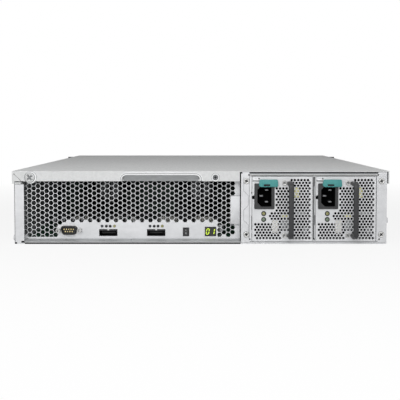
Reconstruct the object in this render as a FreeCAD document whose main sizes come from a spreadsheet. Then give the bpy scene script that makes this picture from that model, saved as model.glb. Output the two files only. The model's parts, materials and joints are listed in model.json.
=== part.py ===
import FreeCAD, Part
import math
import os
import re
import Sketcher

# Disk shelf enclosure, two rack units high: base pan, slide-off cover, vented rear panel with ports, cage with two
# pull-out power supplies, fan row, backplane and twelve drive carriers.
# +X right as seen from the rear, +Y towards the drive bays, +Z up; origin on the underside, at the middle.

SIZES = [
    # the box
    ("body_width", 438.0), ("body_depth", 508.0), ("body_height", 86.0),
    ("pan_sheet", 1.2), ("cover_sheet", 1.0), ("board_sheet", 1.6),
    ("seat_gap", 0.3), ("running_gap", 0.4),
    # base pan
    ("left_flange_width", 11.3), ("left_flange_top", 70.4), ("pan_bend", 1.0),
    ("stud_radius", 3.3), ("stud_reach", 2.0), ("stud_height_left", 6.8), ("stud_height_right", 27.5),
    ("stud_inset", 6.0), ("stud_pitch", 236.0),
    # cover
    ("cover_side_gap", 1.5), ("skirt_drop", 15.0), ("cover_flange_drop", 12.0), ("cover_flange_gap", 1.5),
    ("cover_corner_width", 10.5), ("finger_centre", -46.6), ("finger_width", 96.7), ("finger_top_margin", 2.5),
    ("finger_depth", 5.0), ("finger_corner", 8.0), ("finger_rim", 1.2),
    # captive screws of the cover
    ("thumb_from_left", 18.5), ("thumb_drop", 7.5), ("knob_radius", 5.75), ("knob_length", 6.0),
    ("thumb_shank", 1.75), ("collar_radius", 3.2), ("collar_length", 1.2),
    ("small_from_right", 28.6), ("small_head_radius", 3.5), ("small_head_length", 2.2),
    # rear panel
    ("panel_recess", 10.0), ("panel_foot", 4.7), ("panel_return", 9.0),
    ("vent_pitch", 11.2), ("vent_web", 1.8), ("vent_bottom", 27.6), ("vent_side_margin", 3.4),
    ("vent_right_margin", 3.0),
    # ports: heights above the underside, places across from the middle
    ("serial_x", -156.5), ("serial_z", 15.0), ("serial_top_width", 19.5), ("serial_bottom_width", 16.6),
    ("serial_height", 10.8), ("serial_wall", 0.9), ("serial_reach", 5.6), ("serial_depth", 10.0),
    ("serial_flange_width", 31.0), ("pin_pitch", 2.77), ("pin_row_gap", 2.84), ("pin_thickness", 1.0),
    ("jack_pitch", 25.0), ("jack_across_flats", 4.8), ("jack_length", 5.0), ("jack_thread", 1.3),
    ("jack_thread_depth", 4.0), ("jack_shank_flats", 2.8),
    ("sas_x_left", -109.9), ("sas_x_right", -52.9), ("sas_z", 12.1), ("sas_width", 21.7), ("sas_height", 8.2),
    ("sas_wall", 0.8), ("sas_depth", 20.0), ("sas_tongue_width", 16.0), ("sas_tongue_length", 8.0),
    ("sas_tongue_thickness", 1.0),
    ("pipe_z", 19.8), ("pipe_radius", 1.4), ("pipe_inner_pitch", 4.5), ("pipe_outer_pitch", 14.7),
    ("pipe_bar_depth", 3.0), ("pipe_bar_height", 3.0),
    ("switch_x", -17.4), ("switch_z", 13.1), ("switch_width", 7.3), ("switch_height", 10.2), ("switch_wall", 0.7),
    ("switch_depth", 11.0), ("switch_lip", 1.0), ("rocker_tilt", 8.0),
    ("display_x", 11.8), ("display_z", 13.4), ("display_width", 13.0), ("display_height", 10.8),
    ("display_depth", 8.0),
    # expander board
    ("expander_depth", 150.0), ("expander_foot_radius", 3.0), ("sink_size", 42.0), ("sink_height", 14.0),
    ("sink_fin", 1.5), ("sink_fin_count", 6),
    # power supply cage
    ("cage_left_flange", 12.7), ("cage_right_flange", 12.4), ("cage_divider", 3.2), ("cage_depth", 188.0),
    ("cage_tab_width", 12.0), ("cage_tab_bottom", 22.7), ("cage_tab_top", 56.6),
    ("cage_screw_x", 6.4), ("cage_screw_low", 11.2), ("cage_screw_high", 74.2), ("cage_screw_head", 3.3),
    ("cage_screw_head_length", 2.0),
    # power supply: places measured from the left and bottom edges of its face
    ("psu_width", 70.8), ("psu_height", 76.6), ("psu_length", 184.0), ("psu_gap", 0.4), ("psu_sheet", 1.0),
    ("inlet_x", 14.4), ("inlet_z", 53.3), ("inlet_width", 23.8), ("inlet_height", 30.2), ("inlet_lip", 1.5),
    ("inlet_cavity_width", 16.5), ("inlet_cavity_height", 24.4), ("inlet_cavity_depth", 16.0),
    ("inlet_wall", 1.2), ("inlet_corner", 4.6), ("inlet_pin_wide", 4.0), ("inlet_pin_thin", 2.0),
    ("inlet_pin_pitch", 14.0), ("inlet_pin_offset", 3.0), ("inlet_pin_recess", 4.0), ("inlet_lip_bevel", 0.8),
    ("handle_x", 42.4), ("handle_width", 5.6), ("handle_thickness", 5.0), ("handle_reach", 20.0),
    ("handle_bottom", 4.3), ("handle_top", 71.0), ("handle_corner", 6.0), ("handle_inner_corner", 3.0),
    ("latch_left", 7.5), ("latch_width", 22.8), ("latch_bottom", 63.8), ("latch_top", 73.1),
    ("latch_sheet", 2.5), ("latch_corner", 3.0), ("latch_stand_off", 2.0), ("latch_slot_width", 7.5),
    ("latch_slot_height", 2.5), ("latch_slot_left", 5.9), ("latch_slot_rise", 1.1), ("latch_travel", 2.0),
    ("arm_sheet", 0.8), ("arm_left", 1.3), ("arm_leg_width", 1.0), ("arm_leg_depth", 2.0), ("arm_level", 71.0),
    ("hook_bottom", 50.0), ("hook_height", 3.4),
    ("led_x", 13.6), ("led_z_low", 25.9), ("led_pitch", 7.0), ("led_radius", 2.7),
    ("led_lip", 0.7), ("led_depth", 4.0),
    ("grille_pitch", 8.8), ("grille_web", 2.2), ("grille_right_left", 50.2), ("grille_margin", 2.2),
    ("grille_middle_left", 28.8), ("grille_middle_bottom", 36.5), ("grille_middle_top", 62.0),
    ("grille_low_left", 3.4), ("grille_low_top", 20.0),
    # power distribution board
    ("power_board_gap", 0.3), ("power_plug_width", 40.0), ("power_plug_height", 12.0),
    # fans
    ("fan_count", 3), ("fan_size", 80.0), ("fan_depth", 38.0), ("fan_bore", 76.0), ("fan_pitch", 140.0),
    ("fan_gap", 17.6),
    ("fan_hub", 19.0), ("fan_hub_length", 26.0), ("fan_tip_gap", 1.5), ("fan_strut", 5.0), ("fan_strut_depth", 3.0),
    ("blade_thickness", 1.6), ("blade_chord", 24.0), ("blade_pitch", 38.0),
    ("blade_count", 5),
    # drive cage, backplane and carriers
    ("cage_wall", 1.2), ("cage_shelf", 0.8), ("bay_columns", 4), ("bay_rows", 3), ("drive_cage_depth", 176.0),
    ("drive_cage_setback", 0.5), ("backplane_side_margin", 3.0), ("plug_width", 33.0), ("plug_height", 7.0),
    ("plug_reach", 8.0), ("plug_rise", 5.0), ("window_width", 62.0), ("window_height", 8.0), ("window_rise", 15.5),
    ("carrier_gap", 0.3), ("bezel_depth", 12.0), ("rail_width", 2.2), ("rail_height", 20.0),
    ("disk_width", 101.6), ("disk_height", 25.2), ("disk_length", 147.0), ("disk_bevel", 1.0),
    ("lever_length", 86.0), ("lever_height", 14.0), ("lever_sheet", 6.0), ("lever_gap", 0.6), ("lever_left", 44.6),
    ("finger_slot", 7.0), ("bezel_slot_width", 14.0), ("bezel_slot_pitch", 22.0), ("bezel_slot_count", 3),
    # rack ears
    ("ear_width", 22.3), ("ear_sheet", 2.5), ("ear_leg_sheet", 1.4), ("ear_leg_length", 54.0),
    ("ear_margin", 2.5), ("ear_hole_edge", 8.75), ("ear_hole_rise", 44.45), ("ear_slot_radius", 3.4),
    ("ear_slot_length", 10.0),
]

doc = FreeCAD.newDocument("disk_shelf")
sheet = doc.addObject("Spreadsheet::Sheet", "Sizes")
for row, (alias, number) in enumerate(SIZES, start=1):
    sheet.set(f"A{row}", alias)
    sheet.set(f"B{row}", str(number))
    sheet.setAlias(f"B{row}", alias)
doc.recompute()

ALIASES = re.compile(r"\b(" + "|".join(sorted((a for a, _ in SIZES), key=len, reverse=True)) + r")\b")


def bound(text):
    """The expression with each size's name tied to its cell of the sheet."""
    return ALIASES.sub(r"Sizes.\1", str(text))


def value(text):
    """The number that an expression gives with the sizes as they are."""
    result = sheet.evalExpression(bound(text))
    return float(getattr(result, "Value", result))


# Planes and places that several pieces share.
REAR = "(-body_depth / 2)"
FRONT = "(body_depth / 2)"
SIDE = "(body_width / 2)"
INNER_SIDE = f"({SIDE} - pan_sheet)"
LOFT = "(body_height - cover_sheet - seat_gap)"
SEAT = "(pan_sheet + seat_gap)"
PANEL = f"({REAR} + panel_recess)"
PANEL_BACK = f"({PANEL} + pan_sheet)"
PANEL_LEFT = f"(-{SIDE} + left_flange_width + seat_gap)"
COVER_SIDE = f"({SIDE} + cover_side_gap + cover_sheet)"
COVER_EDGE = "(body_height - cover_flange_drop)"
BAY = "(psu_width + 2 * psu_gap)"
BAY2_RIGHT = f"({SIDE} - cage_right_flange)"
BAY2_LEFT = f"({BAY2_RIGHT} - {BAY})"
BAY1_RIGHT = f"({BAY2_LEFT} - cage_divider)"
BAY1_LEFT = f"({BAY1_RIGHT} - {BAY})"
BAY_FLOOR = f"({SEAT} + pan_sheet)"
BAY_TOP = f"({BAY_FLOOR} + psu_height + 2 * psu_gap)"
CAGE_LEFT = f"({BAY1_LEFT} - cage_left_flange)"
COVER_FLANGE_END = f"({CAGE_LEFT} - cover_flange_gap)"
THUMB_X = f"(-{SIDE} + thumb_from_left)"
THUMB_Z = "(body_height - thumb_drop)"
SMALL_X = f"({COVER_FLANGE_END} - small_from_right)"
BOARD_TOP = "(sas_z - sas_height / 2 - sas_wall - seat_gap)"
PSU_BACK = f"({REAR} + psu_sheet)"
DRIVE_CAGE_REAR = f"({FRONT} - drive_cage_setback - drive_cage_depth)"
BP_REAR = f"({DRIVE_CAGE_REAR} - seat_gap - board_sheet)"
FAN_REAR = f"({BP_REAR} - fan_gap - fan_depth)"
DRIVE_BAY_WIDTH = f"((2 * {INNER_SIDE} - 2 * seat_gap - (bay_columns + 1) * cage_wall) / bay_columns)"
DRIVE_BAY_HEIGHT = f"(({LOFT} - {SEAT} - (bay_rows + 1) * cage_shelf) / bay_rows)"
COLUMN_STEP = f"({DRIVE_BAY_WIDTH} + cage_wall)"
ROW_STEP = f"({DRIVE_BAY_HEIGHT} + cage_shelf)"
FIRST_COLUMN = f"(-(bay_columns - 1) / 2 * {COLUMN_STEP})"
FIRST_ROW = f"({SEAT} + cage_shelf)"


def new_body(label):
    """An empty body that becomes the sub-part of that name."""
    body = doc.addObject("PartDesign::Body", label)
    body.Label = label
    return body


def plane(body, role):
    return next(f for f in body.Origin.OriginFeatures if f.Role == role)


def sketch(body, name, side, level, loops=(), discs=()):
    """A sketch parallel to a plane of the body, at a level along the plane's axis.

    Each loop lists its corners and each disc its centre and radius, as expressions of the sizes.
    """
    made = body.newObject("Sketcher::SketchObject", name)
    made.AttachmentSupport = (plane(body, side + "_Plane"), [""])
    made.MapMode = "FlatFace"
    made.setExpression(".AttachmentOffset.Base.z", bound(f"-({level})" if side == "XZ" else level))
    lines, rules, ties = [], [], []
    for corners in loops:
        first, count = len(lines), len(corners)
        spots = [FreeCAD.Vector(value(a), value(b), 0) for a, b in corners]
        for i, (a, b) in enumerate(corners):
            lines.append(Part.LineSegment(spots[i], spots[(i + 1) % count]))
            rules.append(Sketcher.Constraint("Coincident", first + i, 2, first + (i + 1) % count, 1))
            ties.append(None)
            rules.append(Sketcher.Constraint("DistanceX", -1, 1, first + i, 1, spots[i].x))
            ties.append(a)
            rules.append(Sketcher.Constraint("DistanceY", -1, 1, first + i, 1, spots[i].y))
            ties.append(b)
    for a, b, radius in discs:
        centre = FreeCAD.Vector(value(a), value(b), 0)
        lines.append(Part.Circle(centre, FreeCAD.Vector(0, 0, 1), value(radius)))
        rules.append(Sketcher.Constraint("DistanceX", -1, 1, len(lines) - 1, 3, centre.x))
        rules.append(Sketcher.Constraint("DistanceY", -1, 1, len(lines) - 1, 3, centre.y))
        rules.append(Sketcher.Constraint("Radius", len(lines) - 1, value(radius)))
        ties += [a, b, radius]
    made.addGeometry(lines, False)
    made.addConstraint(rules)
    for i, tie in enumerate(ties):
        if tie is not None:
            made.setExpression(f"Constraints[{i}]", bound(tie))
    return made


def box(left, right, low, high):
    """The four corners of a rectangle."""
    return [(left, low), (right, low), (right, high), (left, high)]


def around(x, z, width, height):
    """A rectangle about a centre."""
    return box(f"{x} - {width} / 2", f"{x} + {width} / 2", f"{z} - {height} / 2", f"{z} + {height} / 2")


def hexagon(x, z, across_flats):
    """A hexagon with flats above and below, about a centre."""
    half, reach = f"({across_flats}) / 2", f"({across_flats}) / sqrt(3)"
    return [
        (f"{x} + {reach}", z),
        (f"{x} + {reach} / 2", f"{z} + {half}"),
        (f"{x} - {reach} / 2", f"{z} + {half}"),
        (f"{x} - {reach}", z),
        (f"{x} - {reach} / 2", f"{z} - {half}"),
        (f"{x} + {reach} / 2", f"{z} - {half}"),
    ]


def grow(body, name, side, start, end, loops=(), discs=(), cut=False):
    """A pad, or a pocket when cut, between two levels along the axis of the sketch's plane."""
    profile = sketch(body, name + "_outline", side, start, loops, discs)
    made = body.newObject("PartDesign::Pocket" if cut else "PartDesign::Pad", name)
    made.Profile = profile
    made.setExpression("Length", bound(f"({end}) - ({start})"))
    made.Reversed = (side == "XZ") != cut
    return made


def cut(body, name, side, start, end, loops=(), discs=()):
    return grow(body, name, side, start, end, loops, discs, cut=True)


def repeat(body, name, feature, rows):
    """The feature repeated along one axis, or along two: rows lists axis, step and count."""
    steps = []
    for i, (axis, step, count) in enumerate(rows):
        kind = body.newObject("PartDesign::LinearPattern", f"{name}_{axis.lower()}")
        kind.Originals = [feature] if len(rows) == 1 else []
        kind.Direction = (plane(body, axis + "_Axis"), [""])
        kind.setExpression("Length", bound(f"({step}) * ({count} - 1)"))
        kind.setExpression("Occurrences", bound(count))
        kind.Refine = False
        steps.append(kind)
    made = steps[0]
    if len(rows) > 1:
        made = body.newObject("PartDesign::MultiTransform", name)
        made.Originals = [feature]
        made.Transformations = steps
        made.Refine = False
    body.Tip = made
    return made


def soften(body, name, axis, spots, size, chamfer=False):
    """A fillet, or a chamfer, of the edges along an axis that pass through the given spots across it."""
    doc.recompute()
    base = body.Tip
    across = [i for i in range(3) if i != "XYZ".index(axis)]
    wanted = [(value(a), value(b)) for a, b in spots]
    picked = []
    for number, edge in enumerate(base.Shape.Edges, start=1):
        if len(edge.Vertexes) != 2:
            continue
        ends = [tuple(v.Point) for v in edge.Vertexes]
        if any(abs(ends[0][i] - ends[1][i]) > 0.001 for i in across):
            continue
        if any(all(abs(ends[0][i] - w[k]) < 0.02 for k, i in enumerate(across)) for w in wanted):
            picked.append(f"Edge{number}")
    if not picked:
        raise RuntimeError(f"{body.Label}: no edge for {name}")
    made = body.newObject("PartDesign::Chamfer" if chamfer else "PartDesign::Fillet", name)
    made.Base = (base, picked)
    made.setExpression("Size" if chamfer else "Radius", bound(size))
    return made


def place(piece, x="0", y="0", z="0"):
    """The piece's placement, tied to the sizes."""
    for axis, text in zip("xyz", (x, y, z)):
        piece.setExpression(f".Placement.Base.{axis}", bound(text))


def copy_of(original, label, x="0", y="0", z="0"):
    """Another piece to the same design, placed elsewhere."""
    made = doc.addObject("App::Link", label)
    made.LinkedObject = original
    made.LinkTransform = False
    made.Label = label
    place(made, x, y, z)
    return made


# Base pan: floor and side walls in one folded sheet, a return flange at the rear left, relief for the power supply
# cage at the rear right, and studs on the sides that hang it in its rails.
pan = new_body("chassis_base")
grow(pan, "pan_fold", "XZ", REAR, FRONT, [[
    (f"-{SIDE}", "0"), (SIDE, "0"), (SIDE, LOFT), (INNER_SIDE, LOFT), (INNER_SIDE, "pan_sheet"),
    (f"-{INNER_SIDE}", "pan_sheet"), (f"-{INNER_SIDE}", LOFT), (f"-{SIDE}", LOFT),
]])
grow(pan, "pan_left_flange", "XZ", REAR, f"{REAR} + pan_sheet",
     [box(f"-{SIDE}", f"-{SIDE} + left_flange_width", "pan_sheet / 2", "left_flange_top")])
cut(pan, "pan_left_corner", "XZ", f"{REAR} - pan_sheet", f"{REAR} + pan_sheet",
    [box(f"-{SIDE} - pan_sheet", f"-{SIDE} + left_flange_width + pan_sheet", "left_flange_top", "body_height")])
cut(pan, "pan_cage_relief", "XZ", f"{REAR} - pan_sheet", f"{REAR} + pan_sheet + seat_gap",
    [box(BAY2_RIGHT, f"{SIDE} + pan_sheet", SEAT, "body_height")])
for hand, sign, level in (("left", "-", "stud_height_left"), ("right", "", "stud_height_right")):
    edge = f"{sign}{SIDE}"
    lo, hi = (f"{edge} - stud_reach", edge) if sign else (edge, f"{edge} + stud_reach")
    grow(pan, f"stud_{hand}", "YZ", lo, hi, [],
         [(f"{REAR} + stud_inset + {n} * stud_pitch", level, "stud_radius") for n in range(2)])
soften(pan, "pan_bends", "Y", [(f"-{SIDE}", "0"), (SIDE, "0")], "pan_bend")

# Cover: top and two skirts in one folded sheet; a rear flange left of the power supplies with a dished finger recess
# and holes for its two captive screws.
cover = new_body("top_cover")
COVER_FRONT = f"({FRONT} - ear_sheet - seat_gap)"
COVER_UNDER = "(body_height - cover_sheet)"
SKIRT = "(body_height - skirt_drop)"
FINGER_LEFT = "(finger_centre - finger_width / 2)"
FINGER_RIGHT = "(finger_centre + finger_width / 2)"
FINGER_TOP = "(body_height - finger_top_margin)"
grow(cover, "cover_fold", "XZ", REAR, COVER_FRONT, [[
    (f"-{COVER_SIDE}", SKIRT), (f"-{COVER_SIDE} + cover_sheet", SKIRT),
    (f"-{COVER_SIDE} + cover_sheet", COVER_UNDER),
    (f"{COVER_SIDE} - cover_sheet", COVER_UNDER), (f"{COVER_SIDE} - cover_sheet", SKIRT), (COVER_SIDE, SKIRT),
    (COVER_SIDE, "body_height"), (f"-{COVER_SIDE}", "body_height"),
]])
grow(cover, "cover_flange", "XZ", REAR, f"{REAR} + cover_sheet", [[
    (f"-{COVER_SIDE}", SKIRT), (f"-{COVER_SIDE} + cover_corner_width", SKIRT),
    (f"-{COVER_SIDE} + cover_corner_width", COVER_EDGE), (COVER_FLANGE_END, COVER_EDGE),
    (COVER_FLANGE_END, "body_height"), (f"-{COVER_SIDE}", "body_height"),
]])
grow(cover, "finger_dish", "XZ", f"{REAR} + cover_sheet / 2", f"{REAR} + finger_depth + finger_rim",
     [box(f"{FINGER_LEFT} - finger_rim", f"{FINGER_RIGHT} + finger_rim", COVER_EDGE,
          f"{FINGER_TOP} + finger_rim")])
cut(cover, "finger_recess", "XZ", f"{REAR} - cover_sheet", f"{REAR} + finger_depth",
    [box(FINGER_LEFT, FINGER_RIGHT, f"{COVER_EDGE} - cover_sheet", FINGER_TOP)])
cut(cover, "screw_holes", "XZ", f"{REAR} - cover_sheet", f"{REAR} + 2 * cover_sheet", [],
    [(THUMB_X, THUMB_Z, "thumb_shank + running_gap"), (SMALL_X, THUMB_Z, "thumb_shank + running_gap")])
soften(cover, "finger_corners", "Y", [(FINGER_LEFT, FINGER_TOP), (FINGER_RIGHT, FINGER_TOP)], "finger_corner")

# Captive screws: head outside the flange, shank through it, collar behind that keeps it in.
COLLAR = f"({REAR} + cover_sheet + seat_gap)"
for label, x, head, length in (
    ("thumbscrew_left", THUMB_X, "knob_radius", "knob_length"),
    ("thumbscrew_right", SMALL_X, "small_head_radius", "small_head_length"),
):
    screw = new_body(label)
    grow(screw, "head", "XZ", f"{REAR} - seat_gap - {length}", f"{REAR} - seat_gap", [], [("0", "0", head)])
    grow(screw, "shank", "XZ", f"{REAR} - seat_gap", COLLAR, [], [("0", "0", "thumb_shank")])
    grow(screw, "collar", "XZ", COLLAR, f"{COLLAR} + collar_length", [], [("0", "0", "collar_radius")])
    place(screw, x, "0", THUMB_Z)

# Rear panel: one sheet bent out at its foot into an inclined lip and forwards along its top, with the honeycomb vent
# and the cut-outs of the ports.
panel = new_body("rear_panel")
CAGE_INNER = f"({CAGE_LEFT} - seat_gap)"
PANEL_RIGHT = f"({BAY1_LEFT} - pan_sheet - seat_gap)"
grow(panel, "panel_fold", "YZ", PANEL_LEFT, CAGE_INNER, [[
    (REAR, SEAT), (REAR, f"{SEAT} + pan_sheet"), (PANEL, "panel_foot"), (PANEL, LOFT),
    (f"{PANEL} + panel_return", LOFT), (f"{PANEL} + panel_return", f"{LOFT} - pan_sheet"),
    (PANEL_BACK, f"{LOFT} - pan_sheet"), (PANEL_BACK, "panel_foot - pan_sheet"),
]])
grow(panel, "panel_wings", "XZ", PANEL, PANEL_BACK, [
    box(f"-{INNER_SIDE} + seat_gap", f"{PANEL_LEFT} + pan_sheet", "panel_foot", LOFT),
    box(f"{CAGE_INNER} - pan_sheet", PANEL_RIGHT, "panel_foot", LOFT),
])
PORT_X = {"left": "sas_x_left", "right": "sas_x_right"}
PIPE_OFFSETS = ["-pipe_outer_pitch / 2", "-pipe_inner_pitch / 2", "pipe_inner_pitch / 2", "pipe_outer_pitch / 2"]


def d_shape(x, z, top, bottom, height):
    """The outline of a nine-pin port, wider along its top."""
    return [
        (f"{x} - {bottom} / 2", f"{z} - {height} / 2"), (f"{x} + {bottom} / 2", f"{z} - {height} / 2"),
        (f"{x} + {top} / 2", f"{z} + {height} / 2"), (f"{x} - {top} / 2", f"{z} + {height} / 2"),
    ]


cut(panel, "port_openings", "XZ", f"{PANEL} - pan_sheet", f"{PANEL} + 2 * pan_sheet", [
    d_shape("serial_x", "serial_z", "serial_top_width", "serial_bottom_width", "serial_height"),
    around("sas_x_left", "sas_z", "sas_width", "sas_height"),
    around("sas_x_right", "sas_z", "sas_width", "sas_height"),
    around("switch_x", "switch_z", "(switch_width - switch_wall)", "(switch_height - switch_wall)"),
    around("display_x", "display_z", "(display_width + 2 * seat_gap)", "(display_height + 2 * seat_gap)"),
] + [hexagon(f"({x} + ({o}))", "pipe_z", "sqrt(3) * (pipe_radius + seat_gap)") for x in PORT_X.values()
     for o in PIPE_OFFSETS]
  + [hexagon(f"(serial_x {s} jack_pitch / 2)", "serial_z", "(jack_shank_flats + running_gap)") for s in "-+"])

# Honeycomb vent: a column of hexagons, repeated across; every other column stands half a pitch higher.
VENT_COLUMN = "(vent_pitch * sqrt(3) / 2)"
VENT_LEFT = f"({PANEL_LEFT} + vent_side_margin)"
VENT_WIDTH = f"({CAGE_LEFT} - vent_right_margin - {VENT_LEFT})"
vent_rows = int(value(f"({COVER_EDGE} - vent_bottom) / vent_pitch"))
for name, shift, rise in (("even", "0", "0"), ("odd", "1", "vent_pitch / 2")):
    column = cut(panel, f"vent_{name}", "XZ", f"{PANEL} - pan_sheet", f"{PANEL} + 2 * pan_sheet", [
        hexagon(f"({VENT_LEFT} + {shift} * {VENT_COLUMN})", f"(vent_bottom + {rise} + {n} * vent_pitch)",
                "vent_pitch - vent_web") for n in range(vent_rows)
    ])
    repeat(panel, f"vent_{name}_columns", column,
           [("X", f"2 * {VENT_COLUMN}", f"floor(({VENT_WIDTH} / {VENT_COLUMN} - {shift}) / 2 + 1)")])
# The vent reaches further down left of the serial port and right of the display.
low_left = int(value(f"(serial_x - jack_pitch / 2 - jack_across_flats - {VENT_LEFT}) / {VENT_COLUMN}"))
DISPLAY_EDGE = "(display_x + display_width / 2 + vent_pitch / 2 + vent_web)"
low_right = int(value(f"({DISPLAY_EDGE} - {VENT_LEFT}) / {VENT_COLUMN}")) + 1
vent_columns = int(value(f"{VENT_WIDTH} / {VENT_COLUMN}")) + 1
low_spots = [(n, f"(vent_bottom - {k} * vent_pitch + {n % 2} * vent_pitch / 2)")
             for n in [*range(low_left), *range(low_right, vent_columns)] for k in (1, 2)]
cut(panel, "vent_low", "XZ", f"{PANEL} - pan_sheet", f"{PANEL} + 2 * pan_sheet", [
    hexagon(f"({VENT_LEFT} + {n} * {VENT_COLUMN})", z, "vent_pitch - vent_web")
    for n, z in low_spots if value(f"{z} - vent_pitch / 2 - panel_foot") > 0
])

# Serial port: flange against the back of the panel, D-shaped shell through it, nine pins, body down to its board.
serial = new_body("serial_port")
grow(serial, "body", "XZ", PANEL_BACK, f"{PANEL_BACK} + serial_depth", [
    box("serial_x - serial_flange_width / 2", "serial_x + serial_flange_width / 2", f"{BOARD_TOP} + seat_gap",
        "serial_z + serial_height / 2 + serial_wall")
])
INSIDE = tuple(f"(serial_{size} - 2 * seat_gap)" for size in ("top_width", "bottom_width", "height"))
HOLLOW = tuple(f"({s} - 2 * serial_wall)" for s in INSIDE)
grow(serial, "shell", "XZ", f"{PANEL_BACK} - serial_reach", PANEL_BACK,
     [d_shape("serial_x", "serial_z", *INSIDE)])
cut(serial, "socket", "XZ", f"{PANEL_BACK} - 2 * serial_reach", PANEL_BACK,
    [d_shape("serial_x", "serial_z", *HOLLOW)])
grow(serial, "pins", "XZ", f"{PANEL_BACK} - serial_reach + pin_thickness", f"{PANEL_BACK} + pin_thickness", [
    around(f"(serial_x + {n - 2} * pin_pitch)", "(serial_z + pin_row_gap / 2)", "pin_thickness", "pin_thickness")
    for n in range(5)
] + [
    around(f"(serial_x + {n - 1.5} * pin_pitch)", "(serial_z - pin_row_gap / 2)", "pin_thickness", "pin_thickness")
    for n in range(4)
])
cut(serial, "jack_clearance", "XZ", f"{PANEL_BACK} - pan_sheet", f"{PANEL_BACK} + serial_depth / 2",
    [hexagon(f"(serial_x {s} jack_pitch / 2)", "serial_z", "(jack_shank_flats + running_gap)") for s in "-+"])

# Hex jackscrews on either side of the serial port.
jacks = new_body("jackscrews")
grow(jacks, "heads", "XZ", f"{PANEL} - jack_length", PANEL,
     [hexagon(f"(serial_x {s} jack_pitch / 2)", "serial_z", "jack_across_flats") for s in "-+"])
grow(jacks, "shanks", "XZ", PANEL, f"{PANEL_BACK} + serial_depth / 3",
     [hexagon(f"(serial_x {s} jack_pitch / 2)", "serial_z", "jack_shank_flats") for s in "-+"])
cut(jacks, "threads", "XZ", f"{PANEL} - jack_length - pan_sheet", f"{PANEL} - jack_length + jack_thread_depth", [],
    [(f"serial_x {s} jack_pitch / 2", "serial_z", "jack_thread") for s in "-+"])

# Mini-SAS ports: shells behind the panel with a contact tongue on the back wall.
ports = new_body("sas_ports")
grow(ports, "shells", "XZ", PANEL_BACK, f"{PANEL_BACK} + sas_depth", [
    around(x, "sas_z", "(sas_width + 2 * sas_wall)", "(sas_height + 2 * sas_wall)") for x in PORT_X.values()
])
cut(ports, "sockets", "XZ", f"{PANEL_BACK} - sas_wall", f"{PANEL_BACK} + sas_depth - sas_wall", [
    around(x, "sas_z", "sas_width", "sas_height") for x in PORT_X.values()
])
SAS_END = f"({PANEL_BACK} + sas_depth)"
grow(ports, "tongues", "XZ", f"{SAS_END} - sas_wall - sas_tongue_length", SAS_END, [
    around(x, "sas_z", "sas_tongue_width", "sas_tongue_thickness") for x in PORT_X.values()
])

# Light pipes: four rods on a bar above each mini-SAS port.
pipes = new_body("port_light_pipes")
PIPE_FOOT = "(sas_z + sas_height / 2 + sas_wall + seat_gap)"
grow(pipes, "bars", "XZ", f"{PANEL_BACK} + seat_gap", f"{PANEL_BACK} + seat_gap + pipe_bar_depth", [
    box(f"{x} - pipe_outer_pitch / 2 - pipe_radius", f"{x} + pipe_outer_pitch / 2 + pipe_radius", PIPE_FOOT,
        "pipe_z + pipe_bar_height / 2") for x in PORT_X.values()
])
grow(pipes, "rods", "XZ", f"{PANEL} - seat_gap", f"{PANEL_BACK} + 2 * seat_gap",
     [hexagon(f"({x} + ({o}))", "pipe_z", "sqrt(3) * pipe_radius") for x in PORT_X.values() for o in PIPE_OFFSETS])

# Power switch: a housing through the panel and a rocker that turns in it about a level pivot.
SWITCH_IN_W = "(switch_width - 3 * switch_wall)"
SWITCH_IN_H = "(switch_height - 3 * switch_wall)"
housing = new_body("switch_housing")
grow(housing, "bezel", "XZ", f"{PANEL} - switch_lip", PANEL,
     [around("switch_x", "switch_z", "switch_width", "switch_height")])
grow(housing, "sleeve", "XZ", PANEL, f"{PANEL} + switch_depth",
     [around("switch_x", "switch_z", f"({SWITCH_IN_W} + 2 * switch_wall - running_gap)",
             f"({SWITCH_IN_H} + 2 * switch_wall - running_gap)")])
cut(housing, "well", "XZ", f"{PANEL} - 2 * switch_lip", f"{PANEL} + switch_depth - switch_wall",
    [around("switch_x", "switch_z", SWITCH_IN_W, SWITCH_IN_H)])
rocker = new_body("power_rocker")
ROCKER_R = f"({SWITCH_IN_H} / 2 - running_gap)"
rocker_corners = []
for angle in (-180, -150, -120, -90, -60, -30, 0):
    rocker_corners.append((f"-{ROCKER_R} * sin({angle})", f"{ROCKER_R} * cos({angle})"))
rocker_corners += [(f"-{ROCKER_R} * sin(2 * rocker_tilt)", f"-{ROCKER_R} * cos(2 * rocker_tilt)")]
grow(rocker, "rocker_body", "YZ", f"-{SWITCH_IN_W} / 2 + running_gap / 2", f"{SWITCH_IN_W} / 2 - running_gap / 2",
     [rocker_corners])
place(rocker, "switch_x", f"{PANEL} - switch_lip + seat_gap", "switch_z")

# Two-digit display behind its window.
display = new_body("id_display")
grow(display, "block", "XZ", f"{PANEL} + seat_gap", f"{PANEL} + display_depth",
     [around("display_x", "display_z", "display_width", "display_height")])
soften(display, "block_edges", "Y", [
    (f"display_x {a} display_width / 2", f"display_z {b} display_height / 2") for a in "-+" for b in "-+"
], "seat_gap")

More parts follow.
